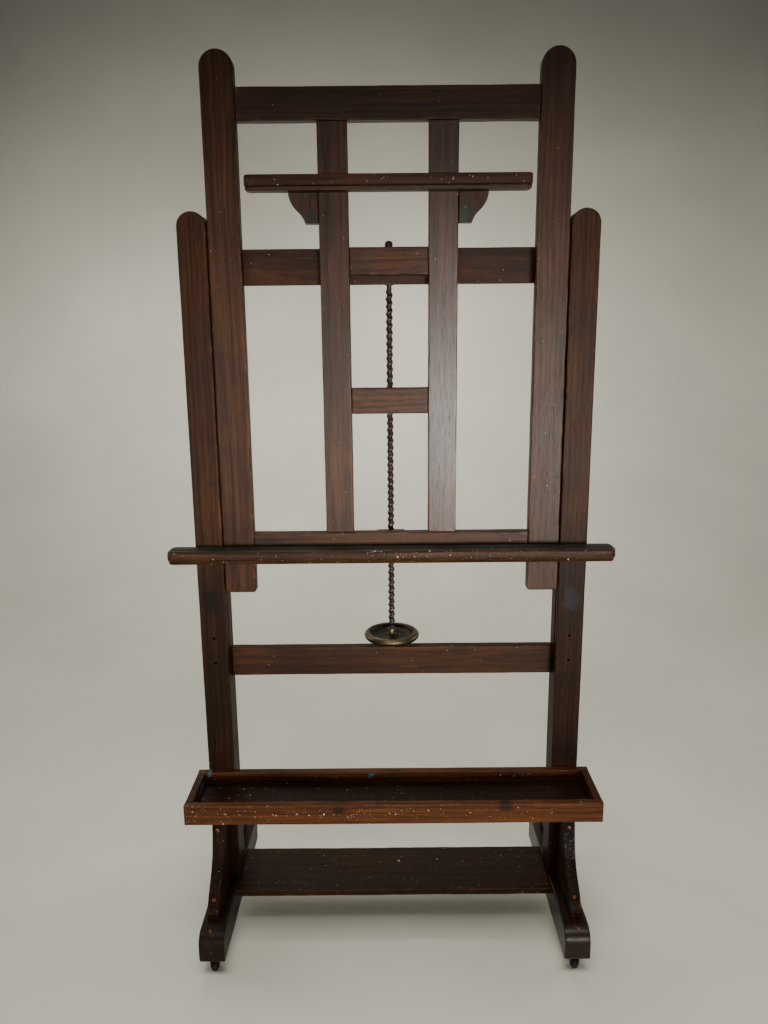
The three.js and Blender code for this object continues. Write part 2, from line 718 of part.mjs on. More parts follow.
// One casting: a hub, a flat web and a round rim that stands above and below the web.
function handwheel() {
  const rimMiddle = hubBottom + RIM_LIFT
  const reach = WHEEL_RADIUS - RIM_RADIUS
  const webLow = rimMiddle - WEB_DROP - WEB_THICKNESS / 2
  const webHigh = webLow + WEB_THICKNESS
  const from = -Math.PI - Math.asin((webLow - rimMiddle) / RIM_RADIUS)
  const to = Math.PI - Math.asin((webHigh - rimMiddle) / RIM_RADIUS)
  const rim = []
  for (let step = 0; step <= RIM_STEPS; step += 1) {
    const angle = from + ((to - from) * step) / RIM_STEPS
    rim.push([reach + RIM_RADIUS * Math.cos(angle), rimMiddle + RIM_RADIUS * Math.sin(angle)])
  }
  const bore = JOURNAL_RADIUS + FIT
  return turned([
    [bore, hubBottom],
    [HUB_RADIUS, hubBottom],
    [HUB_RADIUS, webLow],
    ...rim,
    [HUB_RADIUS, webHigh],
    [HUB_RADIUS, hubTop - HUB_TOP_CHAMFER],
    [HUB_RADIUS - HUB_TOP_CHAMFER, hubTop],
    [bore, hubTop],
  ], 0, screwY, 32)
}

function lowerBush() {
  const bore = JOURNAL_RADIUS + TURN
  const flangeLow = stretcherTop + FIT
  const flangeHigh = flangeLow + BUSH_FLANGE_THICKNESS
  return turned([
    [bore, stretcherTop - LOWER_BUSH_LENGTH],
    [bushRadius, stretcherTop - LOWER_BUSH_LENGTH],
    [bushRadius, flangeLow],
    [BUSH_FLANGE_RADIUS, flangeLow],
    [BUSH_FLANGE_RADIUS, flangeHigh],
    [bore, flangeHigh],
  ], 0, screwY, 24)
}

function upperBush() {
  const bore = JOURNAL_RADIUS + TURN
  const flangeLow = upperRailTop + FIT
  const flangeHigh = flangeLow + BUSH_FLANGE_THICKNESS
  const flangeRadius = BASE_RAIL_THICKNESS / 2 - 1
  return turned([
    [bore, UPPER_RAIL_BOTTOM - 2],
    [bushRadius, UPPER_RAIL_BOTTOM - 2],
    [bushRadius, flangeLow],
    [flangeRadius, flangeLow],
    [flangeRadius, flangeHigh],
    [bore, flangeHigh],
  ], 0, screwY, 20)
}

function screwGroup() {
  return [
    mesh('lead_screw', leadScrew(), 'steel'),
    mesh('handwheel', handwheel(), 'brass'),
    mesh('cap_nut', capNut(), 'steel'),
    mesh('lower_bush', lowerBush(), 'brass'),
    mesh('upper_bush', upperBush(), 'brass'),
  ]
}

// ---------------------------------------------------------------- casters
function casterSocket(x, y) {
  const plateHigh = footBottom - FIT
  const plateLow = plateHigh - CASTER_PLATE_THICKNESS
  const bore = CASTER_STEM_RADIUS + TURN
  const sleeve = bore + CASTER_SLEEVE_WALL
  return turned([
    [bore, plateLow],
    [CASTER_PLATE_RADIUS, plateLow],
    [CASTER_PLATE_RADIUS, plateHigh],
    [sleeve, plateHigh],
    [sleeve, footBottom + CASTER_STEM_LENGTH],
    [bore, footBottom + CASTER_STEM_LENGTH],
  ], x, y, 16)
}

function casterFork(x, y) {
  const crownHigh = footBottom - FIT - CASTER_PLATE_THICKNESS - TURN
  const crownLow = crownHigh - CASTER_CROWN_THICKNESS
  const wheelY = y - CASTER_TRAIL
  const cheekInner = CASTER_WHEEL_WIDTH / 2 + TURN
  const cheekOuter = cheekInner + CASTER_CHEEK_THICKNESS
  const halfCheek = CASTER_CHEEK_WIDTH / 2
  const cheekLow = CASTER_WHEEL_RADIUS - CASTER_AXLE_RADIUS - 3
  const crown = box([x - cheekOuter, wheelY - halfCheek, crownLow], [x + cheekOuter, y + 8, crownHigh])
  const stem = rodUp(CASTER_STEM_RADIUS, x, y, crownLow + 1, footBottom + CASTER_STEM_LENGTH - 2, 12)
  const cheeks = [[-cheekOuter, -cheekInner], [cheekInner, cheekOuter]].map(([from, to]) => {
    const outline = polygon([
      [wheelY - 4, cheekLow],
      [wheelY + 4, cheekLow],
      [wheelY + halfCheek, CASTER_WHEEL_RADIUS + 2],
      [wheelY + halfCheek, crownHigh],
      [wheelY - halfCheek, crownHigh],
      [wheelY - halfCheek, CASTER_WHEEL_RADIUS + 2],
    ])
    return facingSide(outline, x + from, x + to, 0)
  })
  const hole = rodAlongX(
    CASTER_AXLE_RADIUS + FIT, wheelY, CASTER_WHEEL_RADIUS, x - cheekOuter - 1, x + cheekOuter + 1, 10)
  return carve(join([crown, stem, ...cheeks]), [hole])
}

function casterAxle(x, y) {
  const reach = CASTER_WHEEL_WIDTH / 2 + TURN + CASTER_CHEEK_THICKNESS + 1
  return rodAlongX(CASTER_AXLE_RADIUS, y - CASTER_TRAIL, CASTER_WHEEL_RADIUS, x - reach, x + reach, 10)
}

function casterWheel(x, y) {
  const half = CASTER_WHEEL_WIDTH / 2
  const bore = CASTER_AXLE_RADIUS + FIT
  const profile = [
    [bore, -half],
    [CASTER_WHEEL_RADIUS - 2, -half],
    [CASTER_WHEEL_RADIUS, -half + 3],
    [CASTER_WHEEL_RADIUS, half - 3],
    [CASTER_WHEEL_RADIUS - 2, half],
    [bore, half],
  ]
  const wheel = turned(profile, 0, 0, 20)
  wheel.rotateY(Math.PI / 2)
  wheel.translate(x, y - CASTER_TRAIL, CASTER_WHEEL_RADIUS)
  return wheel
}

function casters() {
  const stemY = FOOT_LENGTH / 2 - CASTER_INSET
  const corners = [
    ['front_right', 1, -1],
    ['front_left', -1, -1],
    ['rear_right', 1, 1],
    ['rear_left', -1, 1],
  ]
  return corners.flatMap(([corner, side, end]) => {
    const x = side * postMiddle
    const y = end * stemY
    return [
      mesh(`caster_socket_${corner}`, casterSocket(x, y), 'iron'),
      mesh(`caster_fork_${corner}`, casterFork(x, y), 'iron'),
      mesh(`caster_axle_${corner}`, casterAxle(x, y), 'steel'),
      mesh(`caster_wheel_${corner}`, casterWheel(x, y), 'wheel'),
    ]
  })
}

// ---------------------------------------------------------------- the easel
const easel = new THREE.Group()
easel.name = 'studio_easel'
for (const piece of [...base(), ...tray(), ...slidingFrame(), ...clamp(), ...screwGroup(), ...casters()]) {
  easel.add(piece)
}

export default easel
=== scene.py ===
"""Studio easel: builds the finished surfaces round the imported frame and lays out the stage.

Every piece takes its size and place from the frame's own boxes. Metres, +Z up, the artist on -Y.
"""
import math

import bmesh
import bpy
import numpy as np
from bpy.props import FloatProperty, FloatVectorProperty, IntProperty, PointerProperty
from mathutils import Matrix, Vector


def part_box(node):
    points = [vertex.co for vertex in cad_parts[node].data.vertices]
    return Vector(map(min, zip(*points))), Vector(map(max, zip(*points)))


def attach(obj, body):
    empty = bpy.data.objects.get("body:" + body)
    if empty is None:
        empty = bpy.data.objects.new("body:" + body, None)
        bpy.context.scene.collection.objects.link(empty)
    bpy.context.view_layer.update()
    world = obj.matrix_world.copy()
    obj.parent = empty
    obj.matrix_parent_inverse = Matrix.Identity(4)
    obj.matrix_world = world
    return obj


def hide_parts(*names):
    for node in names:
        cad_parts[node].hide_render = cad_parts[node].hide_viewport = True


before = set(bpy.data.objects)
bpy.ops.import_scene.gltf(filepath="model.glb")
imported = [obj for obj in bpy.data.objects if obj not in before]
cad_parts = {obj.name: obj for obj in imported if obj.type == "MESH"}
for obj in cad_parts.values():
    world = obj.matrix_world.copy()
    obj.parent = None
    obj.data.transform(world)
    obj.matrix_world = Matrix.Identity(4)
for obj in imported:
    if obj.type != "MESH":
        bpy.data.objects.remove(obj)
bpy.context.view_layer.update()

bl_info = {
    "name": "Studio Easel",
    "version": (1, 0, 0),
    "blender": (4, 5, 0),
    "location": "3D View > Sidebar > Easel",
    "description": "Builds a wooden studio easel with a screw-raised frame",
    "category": "Add Mesh",
}

MM = 0.001
GAP = 0.3 * MM  # between pieces that are fixed against each other
SIDES = {"right": 1, "left": -1}
ENDS = {"front": -1, "rear": 1}
FRONT, SIDE, FLAT = (0, 2, 1), (1, 2, 0), (0, 1, 2)  # axes of an outline's two directions and its depth
MERGE = 1e-6  # points closer than this are one point
SHARP_DEGREES = 38  # faces that meet at more than this stay crisp
RADIUS_SWING = 0.45  # share by which a rounding's radius wanders
RADIUS_WAVE, STRAY_WAVE = 0.09, 0.16  # metres from wave to wave of that wander and of an edge's straying

GROOVE_FOOT, GROOVE_DEPTH, GROOVE_PLAY = 0.722, 8.4 * MM, 0.7 * MM  # the posts' grooves for the runners
PEG_HEIGHTS, PEG_RADIUS, PEG_DEPTH = (0.745, 0.684), 3.2 * MM, 16 * MM  # blind holes in the posts' fronts

CREAM_PAINT, OCHRE_PAINT, BLUE_PAINT = (0.52, 0.49, 0.41), (0.40, 0.30, 0.17), (0.10, 0.17, 0.24)
GRIME, KNOT_RING = (0.009, 0.0062, 0.0048), (0.010, 0.0040, 0.0022)
GREEN_CRUST, GREY_CRUST = (0.014, 0.020, 0.015), (0.05, 0.058, 0.050)
COPPER, COPPER_STAIN = (0.42, 0.17, 0.10), (0.06, 0.025, 0.018)
TYRE, TYRE_STAIN = (0.055, 0.048, 0.042), (0.016, 0.014, 0.012)
LAMPLIGHT = (1.0, 0.975, 0.93)


# ---------------------------------------------------------------- sizes and colours
class EaselTimber(bpy.types.PropertyGroup):
    """Sizes and colours of the timber's finish."""

    ease: FloatProperty(name="Eased edge", description="Mean radius of the rounded long edges",
                        default=2.2 * MM, unit="LENGTH")
    wander: FloatProperty(name="Edge wander", description="How far worn edges stray inwards",
                          default=0.35 * MM, unit="LENGTH")
    dark: FloatVectorProperty(name="Dark grain", description="Colour of the dark grain", size=3,
                              default=(0.0060, 0.0022, 0.0010), subtype="COLOR")
    light: FloatVectorProperty(name="Light grain", description="Colour of the light grain", size=3,
                               default=(0.058, 0.0218, 0.0070), subtype="COLOR")
    worn: FloatVectorProperty(name="Worn edge", description="Colour where the polish has rubbed away", size=3,
                              default=(0.110, 0.055, 0.028), subtype="COLOR")
    tray: FloatVectorProperty(name="Tray grain", description="Light grain of the tray's boards", size=3,
                              default=(0.150, 0.046, 0.0085), subtype="COLOR")
    roughness: FloatProperty(name="Polish", description="Mean roughness of the polish",
                             default=0.42, subtype="FACTOR", min=0, max=1)


class EaselMetal(bpy.types.PropertyGroup):
    """Sizes and colours of the metal parts."""

    brass: FloatVectorProperty(name="Brass", description="Rubbed brass", size=3,
                               default=(0.22, 0.17, 0.095), subtype="COLOR")
    patina: FloatVectorProperty(name="Patina", description="Dark patina on the brass", size=3,
                                default=(0.028, 0.023, 0.016), subtype="COLOR")
    steel: FloatVectorProperty(name="Browned steel", description="Colour of the lead screw", size=3,
                               default=(0.115, 0.080, 0.070), subtype="COLOR")
    iron: FloatVectorProperty(name="Dark iron", description="Colour of the casters", size=3,
                              default=(0.040, 0.034, 0.031), subtype="COLOR")
    lead: FloatProperty(name="Lead", description="Rise of the screw's thread in one turn",
                        default=16 * MM, unit="LENGTH")
    root: FloatProperty(name="Thread root", description="Radius at the bottom of the thread",
                        default=5.3 * MM, unit="LENGTH")
    segments: IntProperty(name="Segments", description="Segments round the handwheel", default=96, min=12)


class EaselStage(bpy.types.PropertyGroup):
    """Camera and backdrop."""

    lens: FloatProperty(name="Lens", description="Focal length", default=27.334, subtype="DISTANCE_CAMERA")
    stand: FloatVectorProperty(name="Camera place", description="Where the camera stands", size=3,
                               default=(-0.0053, -1.7480, 1.4133), subtype="TRANSLATION")
    tilt: FloatProperty(name="Tilt", description="How far the camera looks down",
                        default=math.radians(11.915), subtype="ANGLE")
    roll: FloatProperty(name="Roll", description="Lean of the camera to its right",
                        default=math.radians(0.505), subtype="ANGLE")
    pan: FloatProperty(name="Pan", description="Turn of the camera to its right",
                       default=math.radians(-0.072), subtype="ANGLE")
    shift: FloatVectorProperty(name="Shift", description="Shift of the picture, as a share of its width",
                               size=2, default=(-0.0035, -0.0032), subtype="XYZ")
    backdrop: FloatVectorProperty(name="Backdrop", description="Colour of the floor and backdrop", size=3,
                                  default=(0.74, 0.72, 0.605), subtype="COLOR")


# ---------------------------------------------------------------- surfaces
def wander(points, scale, seed):
    """A smooth value between -1 and 1 at each point: the clipped mean of five sine waves that run through
    space in directions and at lengths drawn from the seed, about one wave to each scale metres."""
    draw = np.random.default_rng(seed)
    directions = draw.normal(size=(5, 3))
    directions /= np.linalg.norm(directions, axis=1)[:, None]
    lengths = scale * draw.uniform(0.6, 1.7, 5)
    phases = draw.uniform(0, 2 * math.pi, 5)
    waves = np.sin(points @ directions.T * (2 * math.pi / lengths) + phases)
    return np.clip(waves.sum(-1) / 3.2, -1, 1)


def bezier(controls, count):
    """Points along a Bezier curve: the sum of its control points, each times its Bernstein weight."""
    t = np.linspace(0, 1, count)[:, None]
    last = len(controls) - 1
    return sum(math.comb(last, i) * (1 - t) ** (last - i) * t ** i * np.array(point)
               for i, point in enumerate(controls))


def rounded(corners, radii, steps=7):
    """A closed outline through corners, each turned along an arc of its own radius. The arc of a corner
    starts where the two edges leave a circle of that radius that touches both."""
    corners = np.asarray(corners, float)
    out = []
    for corner, before, after, radius in zip(
            corners, np.roll(corners, 1, axis=0), np.roll(corners, -1, axis=0), radii):
        if radius <= 0:
            out.append(corner[None])
            continue
        back = (before - corner) / np.linalg.norm(before - corner)
        ahead = (after - corner) / np.linalg.norm(after - corner)
        half = math.acos(np.clip(back @ ahead, -1, 1)) / 2
        centre = corner + (back + ahead) / np.linalg.norm(back + ahead) * (radius / math.sin(half))
        start = corner + back * (radius / math.tan(half)) - centre
        sweep = math.pi - 2 * half
        turn = -sweep * np.sign(back[0] * ahead[1] - back[1] * ahead[0])
        angle = math.atan2(start[1], start[0]) + np.linspace(0, turn, steps)
        out.append(centre + radius * np.stack([np.cos(angle), np.sin(angle)], 1))
    return np.concatenate(out)


def refined(outline, step):
    """The closed outline with every edge cut into equal lengths no longer than step."""
    ahead = np.roll(outline, -1, axis=0) - outline
    length = np.linalg.norm(ahead, axis=1)
    keep = length > 1e-7
    outline, ahead, length = outline[keep], ahead[keep], length[keep]
    count = np.maximum(1, np.ceil(length / step)).astype(int)
    start = np.repeat(np.cumsum(count) - count, count)
    share = (np.arange(count.sum()) - start) / np.repeat(count, count)
    return np.repeat(outline, count, axis=0) + np.repeat(ahead, count, axis=0) * share[:, None]


def inward(outline):
    """The direction at each point that draws a counter-clockwise outline in by one unit on both its edges."""
    ahead = np.roll(outline, -1, axis=0) - outline
    ahead /= np.linalg.norm(ahead, axis=1)[:, None]
    left = np.stack([-ahead[:, 1], ahead[:, 0]], 1)
    mean = left + np.roll(left, 1, axis=0)
    mean /= np.linalg.norm(mean, axis=1)[:, None]
    return mean / np.maximum((mean * left).sum(1), 0.5)[:, None]


def counter_clockwise(outline):
    """The same outline, turned round if its signed area is negative."""
    ahead = np.roll(outline, -1, axis=0)
    area = (outline[:, 0] * ahead[:, 1] - outline[:, 1] * ahead[:, 0]).sum()
    return outline if area > 0 else outline[::-1]


def add_object(name, data):
    """A new object in the scene that holds a mesh, a light or a camera."""
    made = bpy.data.objects.new(name, data)
    bpy.context.scene.collection.objects.link(made)
    return made


def to_object(name, vertices, faces, attributes, sharp=SHARP_DEGREES):
    """Puts vertices, faces and point attributes into a mesh object with its doubles merged, its faces
    pointing out, and its shading split where faces meet at more than sharp degrees."""
    mesh = bpy.data.meshes.new(name)
    mesh.from_pydata(vertices.reshape(-1, 3).tolist(), [], faces)
    for key, values in attributes.items():
        layer = mesh.attributes.new(key, "FLOAT", "POINT")
        layer.data.foreach_set("value", np.broadcast_to(values, len(mesh.vertices)).astype(np.float32))
    work = bmesh.new()
    work.from_mesh(mesh)
    bmesh.ops.remove_doubles(work, verts=work.verts, dist=MERGE)
    bmesh.ops.recalc_face_normals(work, faces=work.faces)
    work.to_mesh(mesh)
    work.free()
    mesh.shade_smooth()
    mesh.set_sharp_from_angle(angle=math.radians(sharp))
    return add_object(name, mesh)


def grid_faces(rows, columns, wrap_rows=False):
    """Four-cornered faces of a grid whose columns close on themselves, and its rows too if asked."""
    r, c = np.meshgrid(np.arange(rows if wrap_rows else rows - 1), np.arange(columns), indexing="ij")
    right, below = (c + 1) % columns, (r + 1) % rows
    return np.stack([r * columns + c, r * columns + right,
                     below * columns + right, below * columns + c], -1).reshape(-1, 4).tolist()


def place(piece, body, slot, material, *nodes):
    """Rides the piece on its body, gives it its material, and lets it stand for any CAD nodes. The slot is
    not used.
    """
    piece.data.materials.append(material)
    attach(piece, body)
    if nodes:
        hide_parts(*nodes)


def from_middle(low, high):
    """How far the inner and the outer side of a box lie from the easel's middle plane."""
    return sorted((abs(low.x), abs(high.x)))


def slab(name, outline, low, high, axes, ease=None, step=22 * MM, along=None, shape=None, levels=(), seed=0,
         splash=None, corner_wear=True, cap=None, towards=None):
    """A board. Its outline is carried from low to high along its depth. Near each face the outline draws
    in along a quarter circle whose radius wanders along the edge, and each face is closed flat, with a ring
    drawn in by cap. It draws in at right angles to its own line, or straight towards a point if one is
    given. The whole outline strays inwards by a smooth value. The attribute edge is 1 on the rounding and
    fades beside it, and splash is how much paint has dropped there."""
    look = bpy.context.scene.easel_timber
    ease = look.ease if ease is None else ease
    outline = refined(counter_clockwise(np.asarray(outline, float)), step)
    flat = np.zeros((len(outline), 3))
    flat[:, axes[0]], flat[:, axes[1]] = outline[:, 0], outline[:, 1]
    radius = ease * (1 + RADIUS_SWING * wander(flat, RADIUS_WAVE, seed + 1))
    soft = 0.7 * ease
    cap = min(5 * ease, 0.28 * min(np.ptp(outline, axis=0))) if cap is None else cap
    normal = inward(outline)
    if towards is not None:
        away = np.asarray(towards) - outline
        normal = away / np.linalg.norm(away, axis=1).max()

    # Rings from the middle of a face, over its rounded edge, to the plain side: how far each is drawn in,
    # how deep it lies, and how worn it is.
    inset = [np.full_like(radius, cap), radius + soft]
    depth = [np.zeros_like(radius), np.zeros_like(radius)]
    wear = [0.0, 0.3]
    for turn in np.linspace(0, math.pi / 2, 5):
        inset.append(radius * (1 - math.sin(turn)))
        depth.append(radius * (1 - math.cos(turn)))
        wear.append(1.0)
    for far, value in ((1.6 * ease + soft, 0.3), (4 * ease, 0.0)):
        if far < 0.42 * (high - low):
            inset.append(np.zeros_like(radius))
            depth.append(np.full_like(radius, far))
            wear.append(value)
    inset, depth = np.array(inset), np.array(depth)

    # The same rings at both faces, with any plain ones between them.
    middle = np.asarray(levels, float)
    if along:
        middle = np.sort(np.append(middle, np.arange(low + 6 * ease, high - 6 * ease, along)))
    through = np.concatenate([low + depth, np.broadcast_to(middle[:, None], (len(middle), len(radius))),
                              (high - depth)[::-1]])
    draw_in = np.concatenate([inset, np.zeros((len(middle), len(radius))), inset[::-1]])
    wear = np.concatenate([wear, np.zeros(len(middle)), wear[::-1]])
    points = np.zeros(through.shape + (3,))
    spread = outline[None] + normal[None] * draw_in[..., None]
    points[..., axes[0]], points[..., axes[1]], points[..., axes[2]] = spread[..., 0], spread[..., 1], through
    stray = look.wander * (0.5 + 0.5 * wander(points, STRAY_WAVE, seed + 2))  # none at the middle rings
    stray[[0, -1]] = 0
    points[..., axes[0]] += normal[:, 0] * stray
    points[..., axes[1]] += normal[:, 1] * stray
    if shape is not None:
        points = shape(points)
    rows, columns = through.shape
    faces = grid_faces(rows, columns)
    faces.append(list(range(columns)))
    faces.append(list(range((rows - 1) * columns, rows * columns)))
    ahead = np.roll(outline, -1, axis=0) - outline
    heading = np.unwrap(np.arctan2(ahead[:, 1], ahead[:, 0]))
    turning = np.abs(heading - np.roll(heading, 1)) % (2 * math.pi)
    corner = np.minimum(turning, 2 * math.pi - turning) > 0.12
    edge = np.repeat(wear[:, None], columns, axis=1)
    if corner_wear:
        edge[1:-1] = np.maximum(edge[1:-1], corner[None] * 0.9)
    drops = splash(points.reshape(-1, 3)) if splash else np.full(edge.size, 0.05)
    return to_object(name, points, faces, {"edge": edge.ravel(), "splash": drops})


def board(name, node, axes, ease=None, seed=0, trim=(0, 0, 0, 0), **more):
    """A plain board that fills its node's box; trim shortens its four outline sides."""
    low, high = (np.array(corner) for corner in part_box(node))
    a, b, c = axes
    corners = [(low[a] + trim[0], low[b] + trim[2]), (high[a] - trim[1], low[b] + trim[2]),
               (high[a] - trim[1], high[b] - trim[3]), (low[a] + trim[0], high[b] - trim[3])]
    return slab(name, corners, low[c], high[c], axes, ease, seed=seed, **more)


def lathe(name, profile, centre, segments, axis=2, wear=None):
    """A turned solid: its profile of radius and height is carried round an upright axis (or along X).
    A profile that closes on itself away from the axis makes a ring."""
    profile = np.asarray(profile, float)
    angle = np.arange(segments) * (2 * math.pi / segments)
    radius, height = profile[:, :1], profile[:, 1:]
    first, second = radius * np.cos(angle), radius * np.sin(angle)
    points = np.stack([first, second, np.broadcast_to(height, first.shape)], -1)
    if axis == 0:
        points = points[..., [2, 0, 1]]
    points = points + np.asarray(centre)
    edge = np.zeros(first.shape) if wear is None else np.broadcast_to(np.asarray(wear)[:, None], first.shape)
    return to_object(name, points, grid_faces(len(profile), segments, wrap_rows=True),
                     {"edge": edge.ravel(), "splash": 0.0})


def finished_copy(node, body, slot, material, bevel):
    """A copy of a small CAD part with its facets merged and its edges bevelled."""
    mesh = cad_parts[node].data.copy()
    mesh.materials.clear()
    work = bmesh.new()
    work.from_mesh(mesh)
    bmesh.ops.remove_doubles(work, verts=work.verts, dist=MERGE)
    bmesh.ops.dissolve_limit(work, angle_limit=math.radians(1), verts=work.verts, edges=work.edges)
    work.to_mesh(mesh)
    work.free()
    mesh.shade_smooth()
    mesh.set_sharp_from_angle(angle=math.radians(35))
    piece = add_object(node + "_finished", mesh)
    tool = piece.modifiers.new("eased", "BEVEL")
    tool.width = bevel
    tool.segments = 2
    tool.angle_limit = math.radians(35)
    place(piece, body, slot, material, node)


# ---------------------------------------------------------------- materials
class Net:
    """Adds nodes to one tree. An input given as a socket is linked, anything else is set."""

    def __init__(self, tree):
        self.tree = tree

    def node(self, kind, inputs=None, **settings):
        """A node of this kind with its settings and inputs."""
        made = self.tree.nodes.new("ShaderNode" + kind)
        for key, value in settings.items():
            setattr(made, key, value)
        for key, value in (inputs or {}).items():
            if isinstance(value, bpy.types.NodeSocket):
                self.tree.links.new(value, made.inputs[key])
            else:
                made.inputs[key].default_value = value
        return made

    def math(self, operation, a, b=0.0, clamp=False):
        """One operation on two numbers."""
        return self.node("Math", {0: a, 1: b}, operation=operation, use_clamp=clamp).outputs[0]

    def vector(self, operation, a, b=(0.0, 0.0, 0.0)):
        """One operation on two vectors; LENGTH gives a number."""
        made = self.node("VectorMath", {0: a, 1: b}, operation=operation)
        return made.outputs["Value" if operation == "LENGTH" else 0]

    def mix(self, share, a, b, blend="MIX"):
        """Two colours mixed by share."""
        return self.node("Mix", {0: share, 6: a, 7: b}, data_type="RGBA", blend_type=blend).outputs[2]

    def noise(self, vector, scale, detail=3.0, roughness=0.5, distortion=0.0):
        """Cloudy noise, about scale clouds to a metre."""
        return self.node("TexNoise", {"Vector": vector, "Scale": scale, "Detail": detail,
                                      "Roughness": roughness, "Distortion": distortion}).outputs["Fac"]

    def grain(self, vector, across, along, detail, roughness, distortion=0.0):
        """Noise drawn out along Z: across and along say how many streaks lie in a metre each way."""
        drawn_out = self.vector("MULTIPLY", vector, (across, across, along))
        return self.noise(drawn_out, 1.0, detail, roughness, distortion)

    def step(self, value, low, high, to_low=0.0, to_high=1.0):
        """A smooth step: to_low at low and below it, to_high at high and above it."""
        return self.node("MapRange", {"Value": value, "From Min": low, "From Max": high, "To Min": to_low,
                                      "To Max": to_high}, interpolation_type="SMOOTHSTEP").outputs[0]

    def attribute(self, name):
        """A point attribute of the mesh."""
        return self.node("Attribute", attribute_name=name).outputs["Fac"]

    def connect(self, shader, colour, rough, height, strength, distance):
        """Links colour, roughness and a bump of this strength and distance to the shader."""
        bump = self.node("Bump", {"Height": height, "Strength": strength, "Distance": distance})
        self.tree.links.new(colour, shader.inputs["Base Color"])
        self.tree.links.new(rough, shader.inputs["Roughness"])
        self.tree.links.new(bump.outputs["Normal"], shader.inputs["Normal"])


def rgb(colour):
    """A colour with full alpha."""
    return tuple(colour) + (1.0,)


def new_material(name):
    """A material, the tools to add to it, and its shader."""
    material = bpy.data.materials.new(name)
    material.use_nodes = True
    return material, Net(material.node_tree), material.node_tree.nodes["Principled BSDF"]


def paint_specks(net, spot, amount, scale, size):
    """Where drops of paint lie: cells of a Voronoi pattern, few of them painted, each to its own radius."""
    jitter = net.node("TexNoise", {"Vector": spot, "Scale": scale * 1.6, "Detail": 2.0}).outputs["Color"]
    ragged = net.vector("ADD", spot, net.vector("MULTIPLY", jitter, (0.5 / scale,) * 3))
    cells = net.node("TexVoronoi", {"Vector": ragged, "Scale": scale})
    draw = net.node("SeparateColor", {0: cells.outputs["Color"]})
    chosen = net.math("GREATER_THAN", draw.outputs[0], net.math("SUBTRACT", 1.0, amount))
    reach = net.node("Math", {0: draw.outputs[1], 1: size, 2: size * 0.35}, operation="MULTIPLY_ADD")
    inside = net.math("LESS_THAN", cells.outputs["Distance"], reach.outputs[0])
    return net.math("MULTIPLY", chosen, inside), draw.outputs[2]


def with_knots(net, colour, spot, patch, knots):
    """Adds knots: dark rings round each one's middle, a sine of the distance, that end past its radius."""
    for middle, radius in knots:
        away = net.vector("MULTIPLY", net.vector("SUBTRACT", spot, middle), (0.62, 0.0, 1.0))
        away = net.vector("LENGTH", away)
        uneven = net.math("ADD", away, net.math("MULTIPLY", patch, 0.004))
        ring = net.math("SINE", net.math("MULTIPLY", uneven, 1500.0))
        near = net.step(away, radius * 0.8, radius * 2.4, 1.0, 0.0)
        dark_ring = net.math("MULTIPLY", near, net.step(ring, -0.9, 0.7, 0.6, 0.97))
        colour = net.mix(dark_ring, colour, rgb(KNOT_RING))
    return colour


def with_specks(net, colour, rough, height, spot, splash):
    """Adds three sizes of raised paint drops, mostly cream, some ochre and a few blue."""
    for scale, size, share in ((55.0, 0.15, 0.05), (150.0, 0.22, 0.14), (330.0, 0.28, 0.16)):
        drops, pick = paint_specks(net, spot, net.math("MULTIPLY", splash, share), scale, size)
        paint = net.mix(net.step(pick, 0.62, 0.70), rgb(CREAM_PAINT), rgb(OCHRE_PAINT))
        paint = net.mix(net.step(pick, 0.90, 0.92), paint, rgb(BLUE_PAINT))
        colour = net.mix(net.math("MULTIPLY", drops, 0.88), colour, paint)
        height = net.math("ADD", height, net.math("MULTIPLY", drops, 1.2))
        rough = net.math("ADD", rough, net.math("MULTIPLY", drops, 0.2))
    return colour, rough, height


def with_smears(net, colour, spot, smears):
    """Adds ragged ellipsoids of old paint, each with its middle, half sizes, colour and strength."""
    for middle, half, paint, strength in smears:
        away = net.vector("DIVIDE", net.vector("SUBTRACT", spot, middle), half)
        ragged = net.math("MULTIPLY", net.noise(spot, 1.6 / min(half), 5.0, 0.75), 1.5)
        reach = net.math("ADD", net.vector("LENGTH", away), ragged)
        colour = net.mix(net.step(reach, 1.25, 1.7, strength, 0.0), colour, rgb(paint))
    return colour


def with_painted_shade(net, colour, height, blotch, fade):
    """Painted shade: darkens the timber by height, where the light falls off towards the top of the frame and
    the foot of the posts. fade gives the height where it is darkest, the height where it is not, and how dark
    it gets."""
    darkest, clear, depth = fade
    uneven = net.math("MULTIPLY", net.math("SUBTRACT", blotch, 0.5), 0.35)
    shade = net.step(net.math("ADD", height, uneven), darkest, clear, depth, 1.0)
    grey = net.node("CombineXYZ", {0: shade, 1: shade, 2: shade}).outputs[0]
    return net.mix(1.0, colour, grey, "MULTIPLY")


